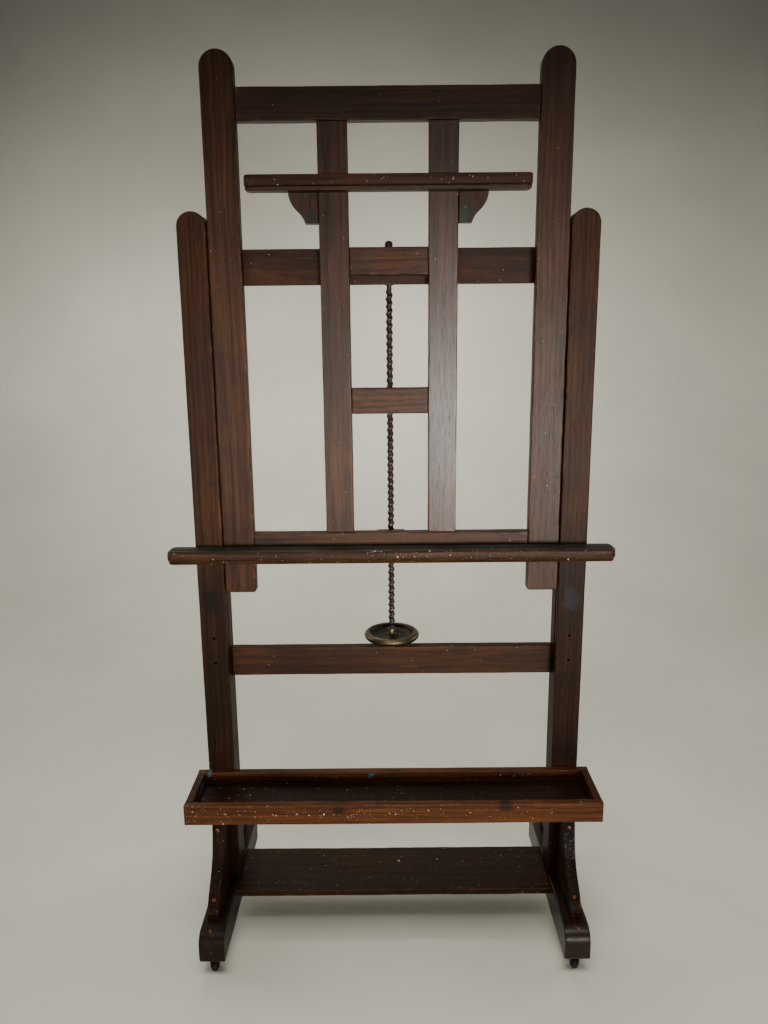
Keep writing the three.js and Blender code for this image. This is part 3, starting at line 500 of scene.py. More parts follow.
def timber(name, grain, offset, light=None, shine=0.0, specks=0.5, tint=None, knots=(), lift=1.0, worn=1.0,
           smears=(), fade=None):
    """Old polished hardwood. Streaks, growth rings and pores are stretched along the grain; edges are rubbed
    paler where the attribute edge says; drops of paint lie where the attribute splash says. A tint is a
    stain's colour and share, shine smooths the polish and lift brightens the whole. fade paints shade that
    darkens the timber by height."""
    look = bpy.context.scene.easel_timber
    material, net, shader = new_material(name)
    spot = net.node("TexCoord").outputs["Object"]
    parts = net.node("SeparateXYZ", {0: spot})
    order = {"x": (1, 2, 0), "y": (2, 0, 1), "z": (0, 1, 2)}[grain]
    turned = net.node("CombineXYZ", {i: parts.outputs[k] for i, k in enumerate(order)}).outputs[0]
    moved = net.node("Mapping", {"Vector": turned, "Location": offset}).outputs[0]
    drift = net.node("TexNoise", {"Vector": net.vector("MULTIPLY", moved, (5.0, 5.0, 1.6)), "Scale": 1.0,
                                  "Detail": 2.0}).outputs["Color"]
    drift = net.vector("MULTIPLY", net.vector("SUBTRACT", drift, (0.5, 0.5, 0.5)), (0.03, 0.03, 0.0))
    wood = net.vector("ADD", moved, drift)

    streak = net.grain(wood, 95.0, 3.0, 8.0, 0.68)
    fine = net.grain(wood, 420.0, 12.0, 3.0, 0.6)
    pore = net.step(net.grain(wood, 900.0, 34.0, 2.0, 0.5), 0.60, 0.70)
    rings = net.node("TexWave", {"Vector": net.vector("MULTIPLY", wood, (1.0, 1.0, 0.07)), "Scale": 26.0,
                                 "Distortion": 5.0, "Detail": 3.0, "Detail Scale": 1.3,
                                 "Detail Roughness": 0.55}, wave_type="RINGS", rings_direction="Z",
                     wave_profile="SAW").outputs["Fac"]
    blotch = net.noise(moved, 5.0, 3.0, 0.55)
    patch = net.noise(moved, 17.0, 4.0, 0.6)

    figure = net.math("ADD", net.math("MULTIPLY", streak, 0.85), net.math("MULTIPLY", rings, 0.16))
    figure = net.math("ADD", figure, net.math("MULTIPLY", fine, 0.42))
    figure = net.step(figure, 0.38, 1.08)
    figure = net.math("MULTIPLY", figure, net.step(blotch, 0.25, 0.75, 0.55, 1.25))
    pale = look.light if light is None else light
    red = [channel * share for channel, share in zip(pale, (1.15, 0.72, 0.62))]
    dark = rgb(look.dark)
    colour = net.mix(figure, dark, rgb(pale))
    redder = net.mix(figure, dark, rgb(red))
    colour = net.mix(net.step(patch, 0.45, 0.72, 0.0, 0.55), colour, redder)
    colour = net.mix(net.math("MULTIPLY", pore, 0.55), colour, rgb(c * 0.6 for c in look.dark))
    if tint is not None:
        stain, share = tint
        colour = net.mix(net.step(patch, 0.35, 0.7, 0.1 * share, share), colour, rgb(stain))
    colour = with_knots(net, colour, spot, patch, knots)

    grime = net.step(net.noise(moved, 42.0, 5.0, 0.65), 0.56, 0.74, 0.0, 0.5)
    colour = net.mix(grime, colour, rgb(GRIME))
    rub = net.step(net.noise(moved, 34.0, 4.0, 0.7), 0.50, 0.72, 0.0, 0.5 * worn)
    colour = net.mix(net.math("MULTIPLY", net.attribute("edge"), rub, clamp=True), colour, rgb(look.worn))
    scuff = net.step(net.grain(wood, 300.0, 26.0, 2.0, 0.7, 1.5), 0.66, 0.75)
    scuff = net.math("MULTIPLY", scuff, net.step(patch, 0.5, 0.7, 0.0, 0.6))
    colour = net.mix(scuff, colour, rgb(look.worn))

    height = net.math("SUBTRACT", net.math("MULTIPLY", streak, 0.5), net.math("MULTIPLY", pore, 0.5))
    height = net.math("ADD", height, net.math("MULTIPLY", fine, 0.25))
    rough = net.math("ADD", look.roughness - 0.10 - shine, net.math("MULTIPLY", fine, 0.16))
    rough = net.math("ADD", rough, net.math("MULTIPLY", blotch, 0.12))
    rough = net.math("ADD", rough, net.math("MULTIPLY", scuff, 0.25))
    splash = net.math("MULTIPLY", net.attribute("splash"), specks)
    colour, rough, height = with_specks(net, colour, rough, height, spot, splash)
    colour = with_smears(net, colour, spot, smears)
    # painted shade by height, where the light falls off
    if fade:
        colour = with_painted_shade(net, colour, parts.outputs["Z"], blotch, fade)
    if lift != 1.0:
        colour = net.mix(1.0, colour, (lift, lift, lift, 1.0), "MULTIPLY")
    net.connect(shader, colour, rough, height, 0.5, 0.5 * MM)
    shader.inputs["Specular IOR Level"].default_value = 0.13 + 1.8 * shine
    return material


def metal(name, base, stain, rubbed_share=0.5, roughness=0.32, scale=90.0, metallic=1.0, pits=0.4):
    """Old metal: a stain lies in cloudy patches over the rubbed base, thinner where edge says, with pits."""
    material, net, shader = new_material(name)
    spot = net.node("TexCoord").outputs["Object"]
    cloud = net.noise(spot, scale, 6.0, 0.65)
    small = net.noise(spot, scale * 6.0, 3.0, 0.6)
    edge = net.attribute("edge")
    bare = net.math("ADD", net.step(cloud, 0.42, 0.66, 0.0, rubbed_share), net.math("MULTIPLY", edge, 0.5),
                    clamp=True)
    bare = net.math("MULTIPLY", bare, net.step(small, 0.3, 0.6, 0.55, 1.0))
    colour = net.mix(bare, rgb(stain), rgb(base))
    rough = net.math("ADD", roughness, net.math("MULTIPLY", net.math("SUBTRACT", 1.0, bare), 0.22))
    height = net.math("SUBTRACT", net.math("MULTIPLY", cloud, 0.4), net.step(small, 0.62, 0.74, 0.0, pits))
    net.connect(shader, colour, rough, height, 0.3, 0.3 * MM)
    shader.inputs["Metallic"].default_value = metallic
    return material


def brass(name, rubbed):
    """Brass under a patina, rubbed bare over this share of it."""
    look = bpy.context.scene.easel_metal
    return metal(name, look.brass, look.patina, rubbed, 0.27, 60.0)


def steel(name):
    """Browned steel, darker where it is stained."""
    look = bpy.context.scene.easel_metal
    return metal(name, look.steel, [c * 0.22 for c in look.steel], 0.5, 0.30, 120.0)


def iron(name):
    """Dark pitted iron."""
    look = bpy.context.scene.easel_metal
    return metal(name, look.iron, [c * 0.4 for c in look.iron], 0.5, 0.42, 150.0, 0.8, 0.8)


# ---------------------------------------------------------------- base
def round_topped(x_low, x_high, z_low, z_high, heel):
    """An upright's outline: straight sides, a half-round top and small rounds at its heel."""
    radius = (x_high - x_low) / 2 - 0.05 * MM
    return rounded([(x_low, z_low), (x_high, z_low), (x_high, z_high), (x_low, z_high)],
                   [heel, heel, radius, radius], 14)


def drilled(piece, centres, radius, depth):
    """Bores blind holes into the front of a piece, each a turned cutter with a conical bottom."""
    sides = 20
    angle = np.arange(sides) * (2 * math.pi / sides)
    above = 3 * MM
    profile = np.array([(0, -above), (radius, -above), (radius, depth), (0, depth + radius * 0.6)])
    rows = len(profile)
    for centre in centres:
        points = np.stack([profile[:, :1] * np.cos(angle), np.broadcast_to(profile[:, 1:], (rows, sides)),
                           profile[:, :1] * np.sin(angle)], -1) + np.asarray(centre)
        cutter = to_object("cutter", points, grid_faces(rows, sides), {})
        tool = piece.modifiers.new("hole", "BOOLEAN")
        tool.operation, tool.solver, tool.object = "DIFFERENCE", "EXACT", cutter
        bpy.context.view_layer.objects.active = piece
        bpy.ops.object.modifier_apply(modifier=tool.name)
        bpy.data.objects.remove(cutter)
    piece.data.set_sharp_from_angle(angle=math.radians(SHARP_DEGREES))


class EASEL_OT_posts(bpy.types.Operator):
    """Builds the two grooved posts with their round tops and peg holes."""

    bl_idname = "easel.posts"
    bl_label = "Posts"

    def execute(self, context):
        runner_low, runner_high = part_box("runner_right")
        groove_front, groove_back = runner_low.y - GROOVE_PLAY, runner_high.y + GROOVE_PLAY
        foot_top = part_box("foot_right")[1].z
        for side, sign in SIDES.items():
            low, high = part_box("post_" + side)
            inner, outer = from_middle(low, high)

            def groove(points, sign=sign, inner=inner):
                """Pushes the inner edge outwards by the groove's depth between its two walls."""
                across = points[..., 0] * sign
                inside = (points[..., 1] > groove_front - MERGE) & (points[..., 1] < groove_back + MERGE)
                inside &= points[..., 2] > GROOVE_FOOT
                points[..., 0] = sign * np.where(inside, np.maximum(across, inner + GROOVE_DEPTH), across)
                return points

            wall = 1e-5  # each wall of the groove leans this little
            levels = [groove_front - wall, groove_front, groove_back, groove_back + wall]
            outline = round_topped(low.x, high.x, foot_top + GAP, high.z, 0.0)
            piece = slab("post_%s_timber" % side, outline, low.y, high.y, FRONT, seed=11 + sign,
                         levels=levels, shape=groove,
                         splash=lambda p: np.clip((0.62 - p[:, 2]) * 0.5, 0, 0.12))
            middle = sign * (inner + outer) / 2
            drilled(piece, [(middle, low.y, z) for z in PEG_HEIGHTS], PEG_RADIUS, PEG_DEPTH)
            smear = ((middle, low.y, 0.835), (26 * MM, 30 * MM, 34 * MM),
                     (0.030, 0.034, 0.036) if sign > 0 else (0.006, 0.006, 0.006), 0.7)
            # fade is painted shade: the posts darken to half below 0.80 m, where the light falls off towards
            # the floor
            material = timber("timber_post_" + side, "z", (0.31 + sign * 0.17, 0.12, 0.4), specks=0.8,
                              smears=(smear,), fade=(0.80, 1.10, 0.5), shine=-0.03)
            place(piece, "base", "timber", material, "post_" + side)
        return {"FINISHED"}


class EASEL_OT_base_rails(bpy.types.Operator):
    """Builds the upper rail and the stretcher between the posts."""

    bl_idname = "easel.base_rails"
    bl_label = "Base rails"

    def execute(self, context):
        inner = from_middle(*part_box("post_left"))[0] - GAP
        for seed, node in ((21, "upper_rail"), (22, "stretcher")):
            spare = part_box(node)[1].x - inner  # the tenon's length, which stays hidden in the post
            piece = board(node + "_timber", node, FRONT, seed=seed, trim=(spare, spare, 0, 0))
            # fade is painted shade: darker above 1.35 m, where the light falls off towards the top
            place(piece, "base", "timber", timber("timber_" + node, "x", (0.7 * seed, 0.3, 0.1),
                                                 fade=(1.75, 1.35, 0.7), shine=-0.02), node)
        return {"FINISHED"}


def foot_outline(low, high):
    """A foot from the side: flat below, a large round on each toe's upper side and a small one below."""
    big, small = 30 * MM, 9 * MM
    return rounded([(low.y, low.z), (high.y, low.z), (high.y, high.z), (low.y, high.z)],
                   [small, small, big, big], 12)


def brace_outline(low, high, end):
    """A brace from the side: a cove that sweeps out from the post, then a round toe above a small ledge.
    The cove is a cubic Bezier curve and the toe a quadratic one."""
    reach, height = high.y - low.y, high.z - low.z
    brow = 54 * MM
    turn = 0.24 * height
    turn_out = reach - (reach - brow) * 0.36
    cove = bezier([(brow, height), (brow, height - (height - turn) * 0.6),
                   (brow + (turn_out - brow) * 0.25, turn + 34 * MM), (turn_out, turn)], 26)
    toe = bezier([(turn_out, turn), (reach, 28.8 * MM), (reach, 12 * MM)], 10)
    outline = np.concatenate([[(0, 0), (0, height)], cove, toe[1:], [(reach, 0)]])
    back = high.y if end < 0 else low.y
    return np.stack([back + end * outline[:, 0], low.z + outline[:, 1]], 1)


class EASEL_OT_feet(bpy.types.Operator):
    """Builds the feet, the four braces and the low shelf."""

    bl_idname = "easel.feet"
    bl_label = "Feet, braces and low shelf"

    def execute(self, context):
        for side, sign in SIDES.items():
            low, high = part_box("foot_" + side)
            piece = slab("foot_%s_timber" % side, foot_outline(low, high), low.x, high.x, SIDE, 3 * MM,
                         seed=31 + sign, cap=7.5 * MM, splash=lambda p: np.clip(-p[:, 1] - 0.05, 0, 1) * 0.5)
            material = timber("timber_foot_" + side, "y", (0.2, 0.6 + sign * 0.2, 0.9),
                              shine=0.06 + 0.05 * sign, specks=0.5, lift=0.45)
            place(piece, "base", "timber", material, "foot_" + side)
            for end, direction in ENDS.items():
                node = "brace_%s_%s" % (end, side)
                low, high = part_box(node)
                piece = slab(node + "_timber", brace_outline(low, high, direction), low.x, high.x, SIDE,
                             seed=41 + sign + 3 * direction, step=12 * MM, cap=4.5 * MM,
                             splash=lambda p: 0.3 + (sign > 0 > direction) * 3.0 * np.exp(
                                 -((p[:, 2] - 0.24) / 0.045) ** 2))
                material = timber("timber_" + node, "z", (0.5 * sign, 0.25 * direction, 0.3), specks=1.0,
                                  shine=-0.03, lift=0.45)
                place(piece, "base", "timber", material, node)
        low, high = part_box("low_shelf")
        gap = high.x - from_middle(*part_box("foot_right"))[0] + 0.15 * MM
        piece = board("low_shelf_timber", "low_shelf", FLAT, 2.6 * MM, seed=51, trim=(gap, gap, 0, 0),
                      splash=lambda p: np.full(len(p), 0.16))
        place(piece, "base", "timber", timber("timber_low_shelf", "x", (0.4, 0.8, 0.2), specks=0.8,
                                              shine=-0.01, lift=0.85), "low_shelf")
        return {"FINISHED"}


# ---------------------------------------------------------------- tray
class EASEL_OT_tray(bpy.types.Operator):
    """Builds the tray's front, back, ends and floor."""

    bl_idname = "easel.tray"
    bl_label = "Tray"

    def execute(self, context):
        look = context.scene.easel_timber
        low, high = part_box("tray_front")
        back_low, back_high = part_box("tray_back")
        long = high.x - low.x

        def near_left(p):
            """Paint drops, thickest at the tray's left end."""
            return np.clip(1.8 - (p[:, 0] - low.x) * 18, 0.05, 1.8)

        knots = (((low.x + 0.37 * long, low.y, low.z + 35 * MM), 6 * MM),
                 ((low.x + 0.768 * long, low.y, low.z + 40 * MM), 7 * MM))
        blob = ((low.x + 0.445 * long, back_low.y, back_high.z - 8 * MM), (9 * MM, 30 * MM, 6 * MM),
                (0.030, 0.10, 0.21), 0.95)
        dab = ((low.x + 28 * MM, back_low.y, back_high.z - 4 * MM), (6 * MM, 30 * MM, 9 * MM),
               (0.10, 0.15, 0.19), 0.8)
        streak = ((low.x + 20 * MM, (low.y + back_high.y) / 2 + 20 * MM, high.z - 16 * MM),
                  (12 * MM, 38 * MM, 12 * MM), (0.08, 0.13, 0.18), 0.8)
        boards = (("front", FRONT, "tray_timber", "x", (0.35, 0.55, 0.15),
                   {"light": look.tray, "specks": 0.8, "knots": knots, "worn": 2.8}),
                  ("back", FRONT, "timber", "x", (0.15, 0.35, 0.95),
                   {"light": look.tray, "specks": 0.8, "lift": 0.8, "smears": (blob, dab)}),
                  ("end_left", FLAT, "tray_timber", "y", (0.2, 0.1, 0.4),
                   {"light": look.tray, "specks": 0.9, "lift": 0.45, "smears": (streak,)}),
                  ("end_right", FLAT, "tray_timber", "y", (0.7, 0.3, 0.4),
                   {"light": look.tray, "specks": 0.5, "lift": 0.5}),
                  ("floor", FLAT, "timber", "x", (0.9, 0.1, 0.6), {"specks": 0.5, "lift": 0.5}))
        for seed, (part, axes, slot, grain, offset, finish) in enumerate(boards):
            node = "tray_" + part
            piece = board(node + "_timber", node, axes, 1.6 * MM, seed=61 + seed, splash=near_left)
            place(piece, "base", slot, timber("timber_" + node, grain, offset, **finish), node)
        return {"FINISHED"}


# ---------------------------------------------------------------- sliding frame
class EASEL_OT_sliding_frame(bpy.types.Operator):
    """Builds the stiles, rails, runners and nut block of the frame that slides."""

    bl_idname = "easel.sliding_frame"
    bl_label = "Sliding frame"

    def execute(self, context):
        for side, sign in SIDES.items():
            low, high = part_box("stile_" + side)
            outline = round_topped(low.x, high.x, low.z, high.z, 7 * MM)
            piece = slab("stile_%s_timber" % side, outline, low.y, high.y, FRONT, seed=71 + sign, cap=6 * MM)
            # fade is painted shade: the stiles darken towards their tops, where the light falls off
            material = timber("timber_stile_" + side, "z", (0.9 + 0.4 * sign, 0.2, 0.3), shine=0.01 * sign,
                              lift=1.25, fade=(2.02, 1.60, 0.42))
            place(piece, "sliding_frame", "timber", material, "stile_" + side)
            node = "inner_stile_" + side
            piece = board(node + "_timber", node, FRONT, seed=75 + sign)
            # fade is painted shade: the inner stiles darken towards their tops, where the light falls off
            material = timber("timber_" + node, "z", (0.1 + 0.3 * sign, 0.7, 0.8), lift=1.15,
                              shine=0.02 + 0.08 * (sign > 0), fade=(1.95, 1.45, 0.5))
            place(piece, "sliding_frame", "timber", material, node)
            finished_copy("runner_" + side, "sliding_frame", "timber",
                          timber("timber_runner_" + side, "z", (0.2, 0.5 * sign, 0.1)), 0.4 * MM)
        for seed, node in enumerate(("top_rail", "lower_rail", "small_rail_lower", "small_rail_upper")):
            piece = board(node + "_timber", node, FRONT, seed=81 + seed)
            # fade is painted shade: the rails darken towards the top, where the light falls off
            material = timber("timber_" + node, "x", (0.3 * seed, 0.2 + 0.15 * seed, 0.5), lift=1.1,
                              fade=(1.90, 1.70, 0.45))
            place(piece, "sliding_frame", "timber", material, node)
        plain = timber("timber_nut_block", "x", (0.6, 0.1, 0.9))
        finished_copy("nut_block", "sliding_frame", "timber", plain, 0.8 * MM)
        finished_copy("shelf_cleat", "sliding_frame", "timber", plain, 0.5 * MM)
        return {"FINISHED"}


def shelf_outline(low, high):
    """The canvas shelf's section: a shallow groove along the top, a round nose, and a lip set back below."""
    nose = 8 * MM
    groove_front, groove_back = low.y + 15 * MM, low.y + 22 * MM
    groove = high.z - 2.5 * MM
    bottom = low.z
    lip = bottom + 10 * MM
    t = np.linspace(0, 1, 9)
    sunk = np.stack([groove_back + (groove_front - groove_back) * t,
                     high.z - (high.z - groove) * np.sin(math.pi * t) ** 0.6], 1)
    corners = [(low.y + 9 * MM, bottom), (high.y, bottom), (high.y, high.z)]
    outline = rounded(corners, [1.5 * MM, 1.0 * MM, 1.0 * MM], 4)
    angle = np.linspace(math.pi / 2, math.pi, 9)
    round_nose = np.stack([low.y + nose + nose * np.cos(angle), high.z - nose + nose * np.sin(angle)], 1)
    angle = np.linspace(math.pi, 1.5 * math.pi, 7)
    under = np.stack([low.y + 5 * MM + 5 * MM * np.cos(angle), lip + 5 * MM + 5 * MM * np.sin(angle)], 1)
    cove = np.array([(low.y + 8 * MM, lip), (low.y + 9 * MM, lip - 1.0 * MM)])
    return np.concatenate([outline, sunk, round_nose, under, cove])


def crusted(material):
    """Lays old green-grey paint over a material's colour where its faces look up."""
    tree = material.node_tree
    net = Net(tree)
    shader = tree.nodes["Principled BSDF"]
    bare = shader.inputs["Base Color"].links[0].from_socket
    upward = net.node("SeparateXYZ", {0: net.node("NewGeometry").outputs["Normal"]}).outputs["Z"]
    spot = net.node("TexCoord").outputs["Object"]
    uneven = net.noise(net.vector("MULTIPLY", spot, (12.0, 90.0, 90.0)), 1.0, 5.0, 0.7)
    crust = net.math("MULTIPLY", net.step(upward, 0.75, 0.97), net.step(uneven, 0.30, 0.52, 0.35, 0.92))
    paint = net.mix(net.noise(spot, 30.0, 3.0, 0.6), rgb(GREEN_CRUST), rgb(GREY_CRUST))
    tree.links.new(net.mix(crust, bare, paint), shader.inputs["Base Color"])
    return material


class EASEL_OT_canvas_shelf(bpy.types.Operator):
    """Builds the moulded shelf that a canvas stands on."""

    bl_idname = "easel.canvas_shelf"
    bl_label = "Canvas shelf"

    def execute(self, context):
        low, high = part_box("canvas_shelf")
        heart = (high.y, (low.z + high.z) / 2)
        piece = slab("canvas_shelf_timber", shelf_outline(low, high), low.x, high.x, SIDE, 10 * MM,
                     step=6 * MM, along=14 * MM, seed=91, corner_wear=False, cap=24 * MM, towards=heart,
                     splash=lambda p: 0.5 + 1.2 * np.exp(-((p[:, 0] - 0.05) / 0.2) ** 2))
        material = timber("timber_canvas_shelf", "x", (0.2, 0.4, 0.7), (0.082, 0.036, 0.012), -0.02, 0.7,
                          lift=0.8)
        place(piece, "sliding_frame", "timber", crusted(material), "canvas_shelf")
        return {"FINISHED"}


# ---------------------------------------------------------------- clamp
class EASEL_OT_clamp(bpy.types.Operator):
    """Builds the clamp bar, its brackets and their brass keepers."""

    bl_idname = "easel.clamp"
    bl_label = "Clamp bar"

    def execute(self, context):
        low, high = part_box("clamp_bar")
        lip = low.z + 8 * MM
        setback = low.y + 11 * MM
        corners = [(setback, low.z), (high.y, low.z), (high.y, high.z), (low.y + MM, high.z),
                   (low.y, high.z - MM), (low.y, lip + 2 * MM), (low.y + 2 * MM, lip), (setback, lip)]
        outline = rounded(corners, [1.5 * MM, MM, MM, 5 * MM, 3 * MM, 2 * MM, 2 * MM, 0.6 * MM], 5)
        heart = (high.y, (low.z + high.z) / 2)
        piece = slab("clamp_bar_timber", outline, low.x, high.x, SIDE, 9 * MM, step=6 * MM, along=14 * MM,
                     seed=101, corner_wear=False, cap=20 * MM, towards=heart,
                     splash=lambda p: np.full(len(p), 0.25))
        place(piece, "top_clamp", "timber", timber("timber_clamp_bar", "x", (0.8, 0.3, 0.1), shine=-0.01,
                                                   lift=0.95, worn=1.3, specks=0.8), "clamp_bar")
        metal_look = brass("brass_keeper", 0.3)
        bar_bottom = low.z
        for side, sign in SIDES.items():
            low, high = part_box("clamp_bracket_" + side)
            inner, outer = from_middle(low, high)
            waist = inner + 31 * MM
            knee_end = (waist + 13 * MM, low.z + 25 * MM)
            knee = bezier([(waist - 3 * MM, low.z), (waist + 2 * MM, low.z + 15 * MM), knee_end], 12)
            brow = bezier([knee_end, (outer - 2 * MM, low.z + 38 * MM), (outer, bar_bottom)], 12)
            outline = np.concatenate([[(inner, low.z)], knee, brow[1:], [(outer, high.z), (inner, high.z)]])
            outline[:, 0] *= sign
            piece = slab("clamp_bracket_%s_timber" % side, outline, low.y, high.y, FRONT, 1.2 * MM,
                         step=8 * MM, seed=105 + sign, splash=lambda p: np.full(len(p), 0.12))
            stain = ((0.022, 0.032, 0.027), 0.6 if sign > 0 else 0.3)
            smear = ((sign * (inner + 12 * MM), low.y, low.z + 14 * MM), (16 * MM, 12 * MM, 20 * MM),
                     (0.022, 0.036, 0.026) if sign > 0 else (0.010, 0.012, 0.012), 0.75)
            material = timber("timber_bracket_" + side, "z", (0.4 * sign, 0.9, 0.2), specks=0.8, tint=stain,
                              smears=(smear,), lift=0.8)
            place(piece, "top_clamp", "timber", material, "clamp_bracket_" + side, "clamp_leaf_" + side)
            finished_copy("clamp_keeper_" + side, "top_clamp", "brass", metal_look, 0.5 * MM)
        return {"FINISHED"}


# ---------------------------------------------------------------- screw and wheel
class EASEL_OT_lead_screw(bpy.types.Operator):
    """Builds the coarse lead screw, its nut, bushes and cap."""

    bl_idname = "easel.lead_screw"
    bl_label = "Lead screw"

    def execute(self, context):
        look = context.scene.easel_metal
        low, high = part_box("lead_screw")
        axis_x, axis_y = (low.x + high.x) / 2, (low.y + high.y) / 2
        crest = (high.x - low.x) / 2 - 0.1 * MM
        journal = 5.5 * MM
        thread_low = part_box("handwheel")[1].z + 1.5 * MM
        thread_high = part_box("upper_rail")[0].z - 9 * MM
        run = np.arange(thread_low, thread_high, look.lead / 16)
        heights = np.concatenate([[low.z, low.z, low.z + MM, thread_low - 0.5 * MM], run,
                                  [thread_high, thread_high + 0.2 * MM, high.z - MM, high.z, high.z]])
        base_radius = np.concatenate([[0, journal - MM, journal, journal], np.zeros(len(run)),
                                      [0, journal, journal, journal - MM, 0]])
        angle = np.arange(32) * (2 * math.pi / 32)
        phase = angle[None] - 2 * math.pi * (heights[:, None] - thread_low) / look.lead
        swell = 0.5 + 0.5 * np.cos(phase)
        thread = look.root + (crest - look.root) * swell ** 1.15
        fade = np.clip(np.minimum(heights - thread_low, thread_high - heights) / (8 * MM), 0, 1)[:, None]
        thread = journal + (thread - journal) * (fade * fade * (3 - 2 * fade))
        threaded = (heights >= thread_low) & (heights <= thread_high) & (base_radius == 0)
        radius = np.where(threaded[:, None], thread, base_radius[:, None])
        points = np.stack([axis_x + radius * np.cos(angle), axis_y + radius * np.sin(angle),
                           np.broadcast_to(heights[:, None], radius.shape)], -1)
        edge = np.where(threaded[:, None], swell ** 3, 0.2)
        piece = to_object("lead_screw_steel", points, grid_faces(len(heights), len(angle)),
                          {"edge": edge.ravel(), "splash": 0.0})
        place(piece, "screw", "steel", steel("browned_steel"), "lead_screw")

        low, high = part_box("cap_nut")
        reach = (high.x - low.x) / 2
        tall = high.z - low.z
        dome = np.linspace(0, math.pi / 2, 10)
        profile = [(0, low.z), (reach - MM, low.z), (reach, low.z + MM), (reach, low.z + tall * 0.5)]
        profile += [(reach * math.cos(a), low.z + tall * (0.5 + 0.5 * math.sin(a))) for a in dome[1:]]
        place(lathe("cap_nut_steel", profile, (axis_x, axis_y, 0), 40), "screw", "steel", steel("cap_steel"),
              "cap_nut")
        for node, body in (("lower_bush", "base"), ("upper_bush", "base"), ("brass_nut", "sliding_frame")):
            finished_copy(node, body, "brass", brass("brass_" + node, 0.35), 0.3 * MM)
        return {"FINISHED"}


class EASEL_OT_handwheel(bpy.types.Operator):
    """Builds the dished brass handwheel: a hub, a web and a full rim in one casting."""

    bl_idname = "easel.handwheel"
    bl_label = "Handwheel"

    def execute(self, context):
        look = context.scene.easel_metal
        low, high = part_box("handwheel")
        centre = ((low.x + high.x) / 2, (low.y + high.y) / 2, 0)
        rim = 8.5 * MM
        reach = (high.x - low.x) / 2 - rim
        middle = low.z + 24 * MM
        web = middle - 2 * MM
        bore = 5.8 * MM
        start = -math.pi + math.asin(4.5 / 8.5)
        angle = np.linspace(start, math.pi - math.asin(0.5 / 8.5), 30)
        round_rim = np.stack([reach + rim * np.cos(angle), middle + rim * np.sin(angle)], 1)
        dish = np.linspace(0, 1, 12)[:, None]
        hub = 12 * MM
        under = np.concatenate([hub + 4 * MM + (reach - rim * 0.86 - hub - 4 * MM) * dish,
                                web - 2.5 * MM - 3 * MM * np.sin(math.pi * dish)], 1)
        over = np.concatenate([reach - rim * 1.02 + (hub + 3 * MM - reach + rim * 1.02) * dish,
                               web + 2.5 * MM - 3 * MM * np.sin(math.pi * dish)], 1)
        hub_below = [(bore, low.z), (hub - MM, low.z), (hub, low.z + MM), (hub, web - 6 * MM),
                     (hub + 1.2 * MM, web - 3.6 * MM)]
        neck = hub - 2.5 * MM
        hub_above = [(hub + 0.9 * MM, web + 3.6 * MM), (hub - 1.5 * MM, web + 7 * MM),
                     (neck, high.z - 6 * MM), (neck, high.z - 2.5 * MM),
                     (hub - 3.2 * MM, high.z - 0.8 * MM), (hub - 4.5 * MM, high.z), (bore, high.z)]
        profile = np.concatenate([hub_below, under, round_rim, over, hub_above])
        wear = np.zeros(len(profile))
        first = len(hub_below) + len(under)
        wear[first:first + len(round_rim)] = np.clip(np.cos(angle - 0.9), 0, 1) ** 2
        wear[1 - len(hub_above):] = 0.8
        piece = lathe("handwheel_brass", profile, centre, look.segments, wear=wear)
        place(piece, "screw", "brass", brass("aged_brass_wheel", 0.05), "handwheel")
        return {"FINISHED"}


# ---------------------------------------------------------------- casters and fasteners
class EASEL_OT_casters(bpy.types.Operator):
    """Builds the four casters: sockets, forks, axles and wheels."""

    bl_idname = "easel.casters"
    bl_label = "Casters"

    def execute(self, context):
        dark = iron("dark_iron")
        axle = steel("caster_steel")
        tyre = metal("caster_wheel_iron", TYRE, TYRE_STAIN, 0.5, 0.5, 200.0, 0.6, 0.9)
        for end in ENDS:
            for side in SIDES:
                corner = "%s_%s" % (end, side)
                body = "caster_" + corner
                finished_copy("caster_socket_" + corner, "base", "iron", dark, 0.4 * MM)
                finished_copy("caster_fork_" + corner, body, "iron", dark, 0.4 * MM)
                finished_copy("caster_axle_" + corner, body, "steel", axle, 0.3 * MM)
                low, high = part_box("caster_wheel_" + corner)
                half = (high.x - low.x) / 2
                reach = (high.z - low.z) / 2 - 0.02 * MM
                bore, boss, web, tyre_foot = 2.8 * MM, 5 * MM, 6 * MM, 10 * MM
                sunk = half - MM
                turn = np.linspace(0, 1, 9)
                tread = np.stack([reach - 2 * MM * np.abs(2 * turn - 1) ** 2.2, -half + 2 * half * turn], 1)
                face = np.array([(bore, half), (boss, half), (web, sunk), (tyre_foot - MM, sunk),
                                 (tyre_foot, half)])
                profile = np.concatenate([face * (1, -1), tread, face[::-1]])
                centre = ((low.x + high.x) / 2, (low.y + high.y) / 2, (low.z + high.z) / 2)
                piece = lathe("caster_wheel_%s_iron" % corner, profile, centre, 40, axis=0)
                place(piece, "wheel_" + corner, "caster_wheel", tyre, "caster_wheel_" + corner)
        return {"FINISHED"}


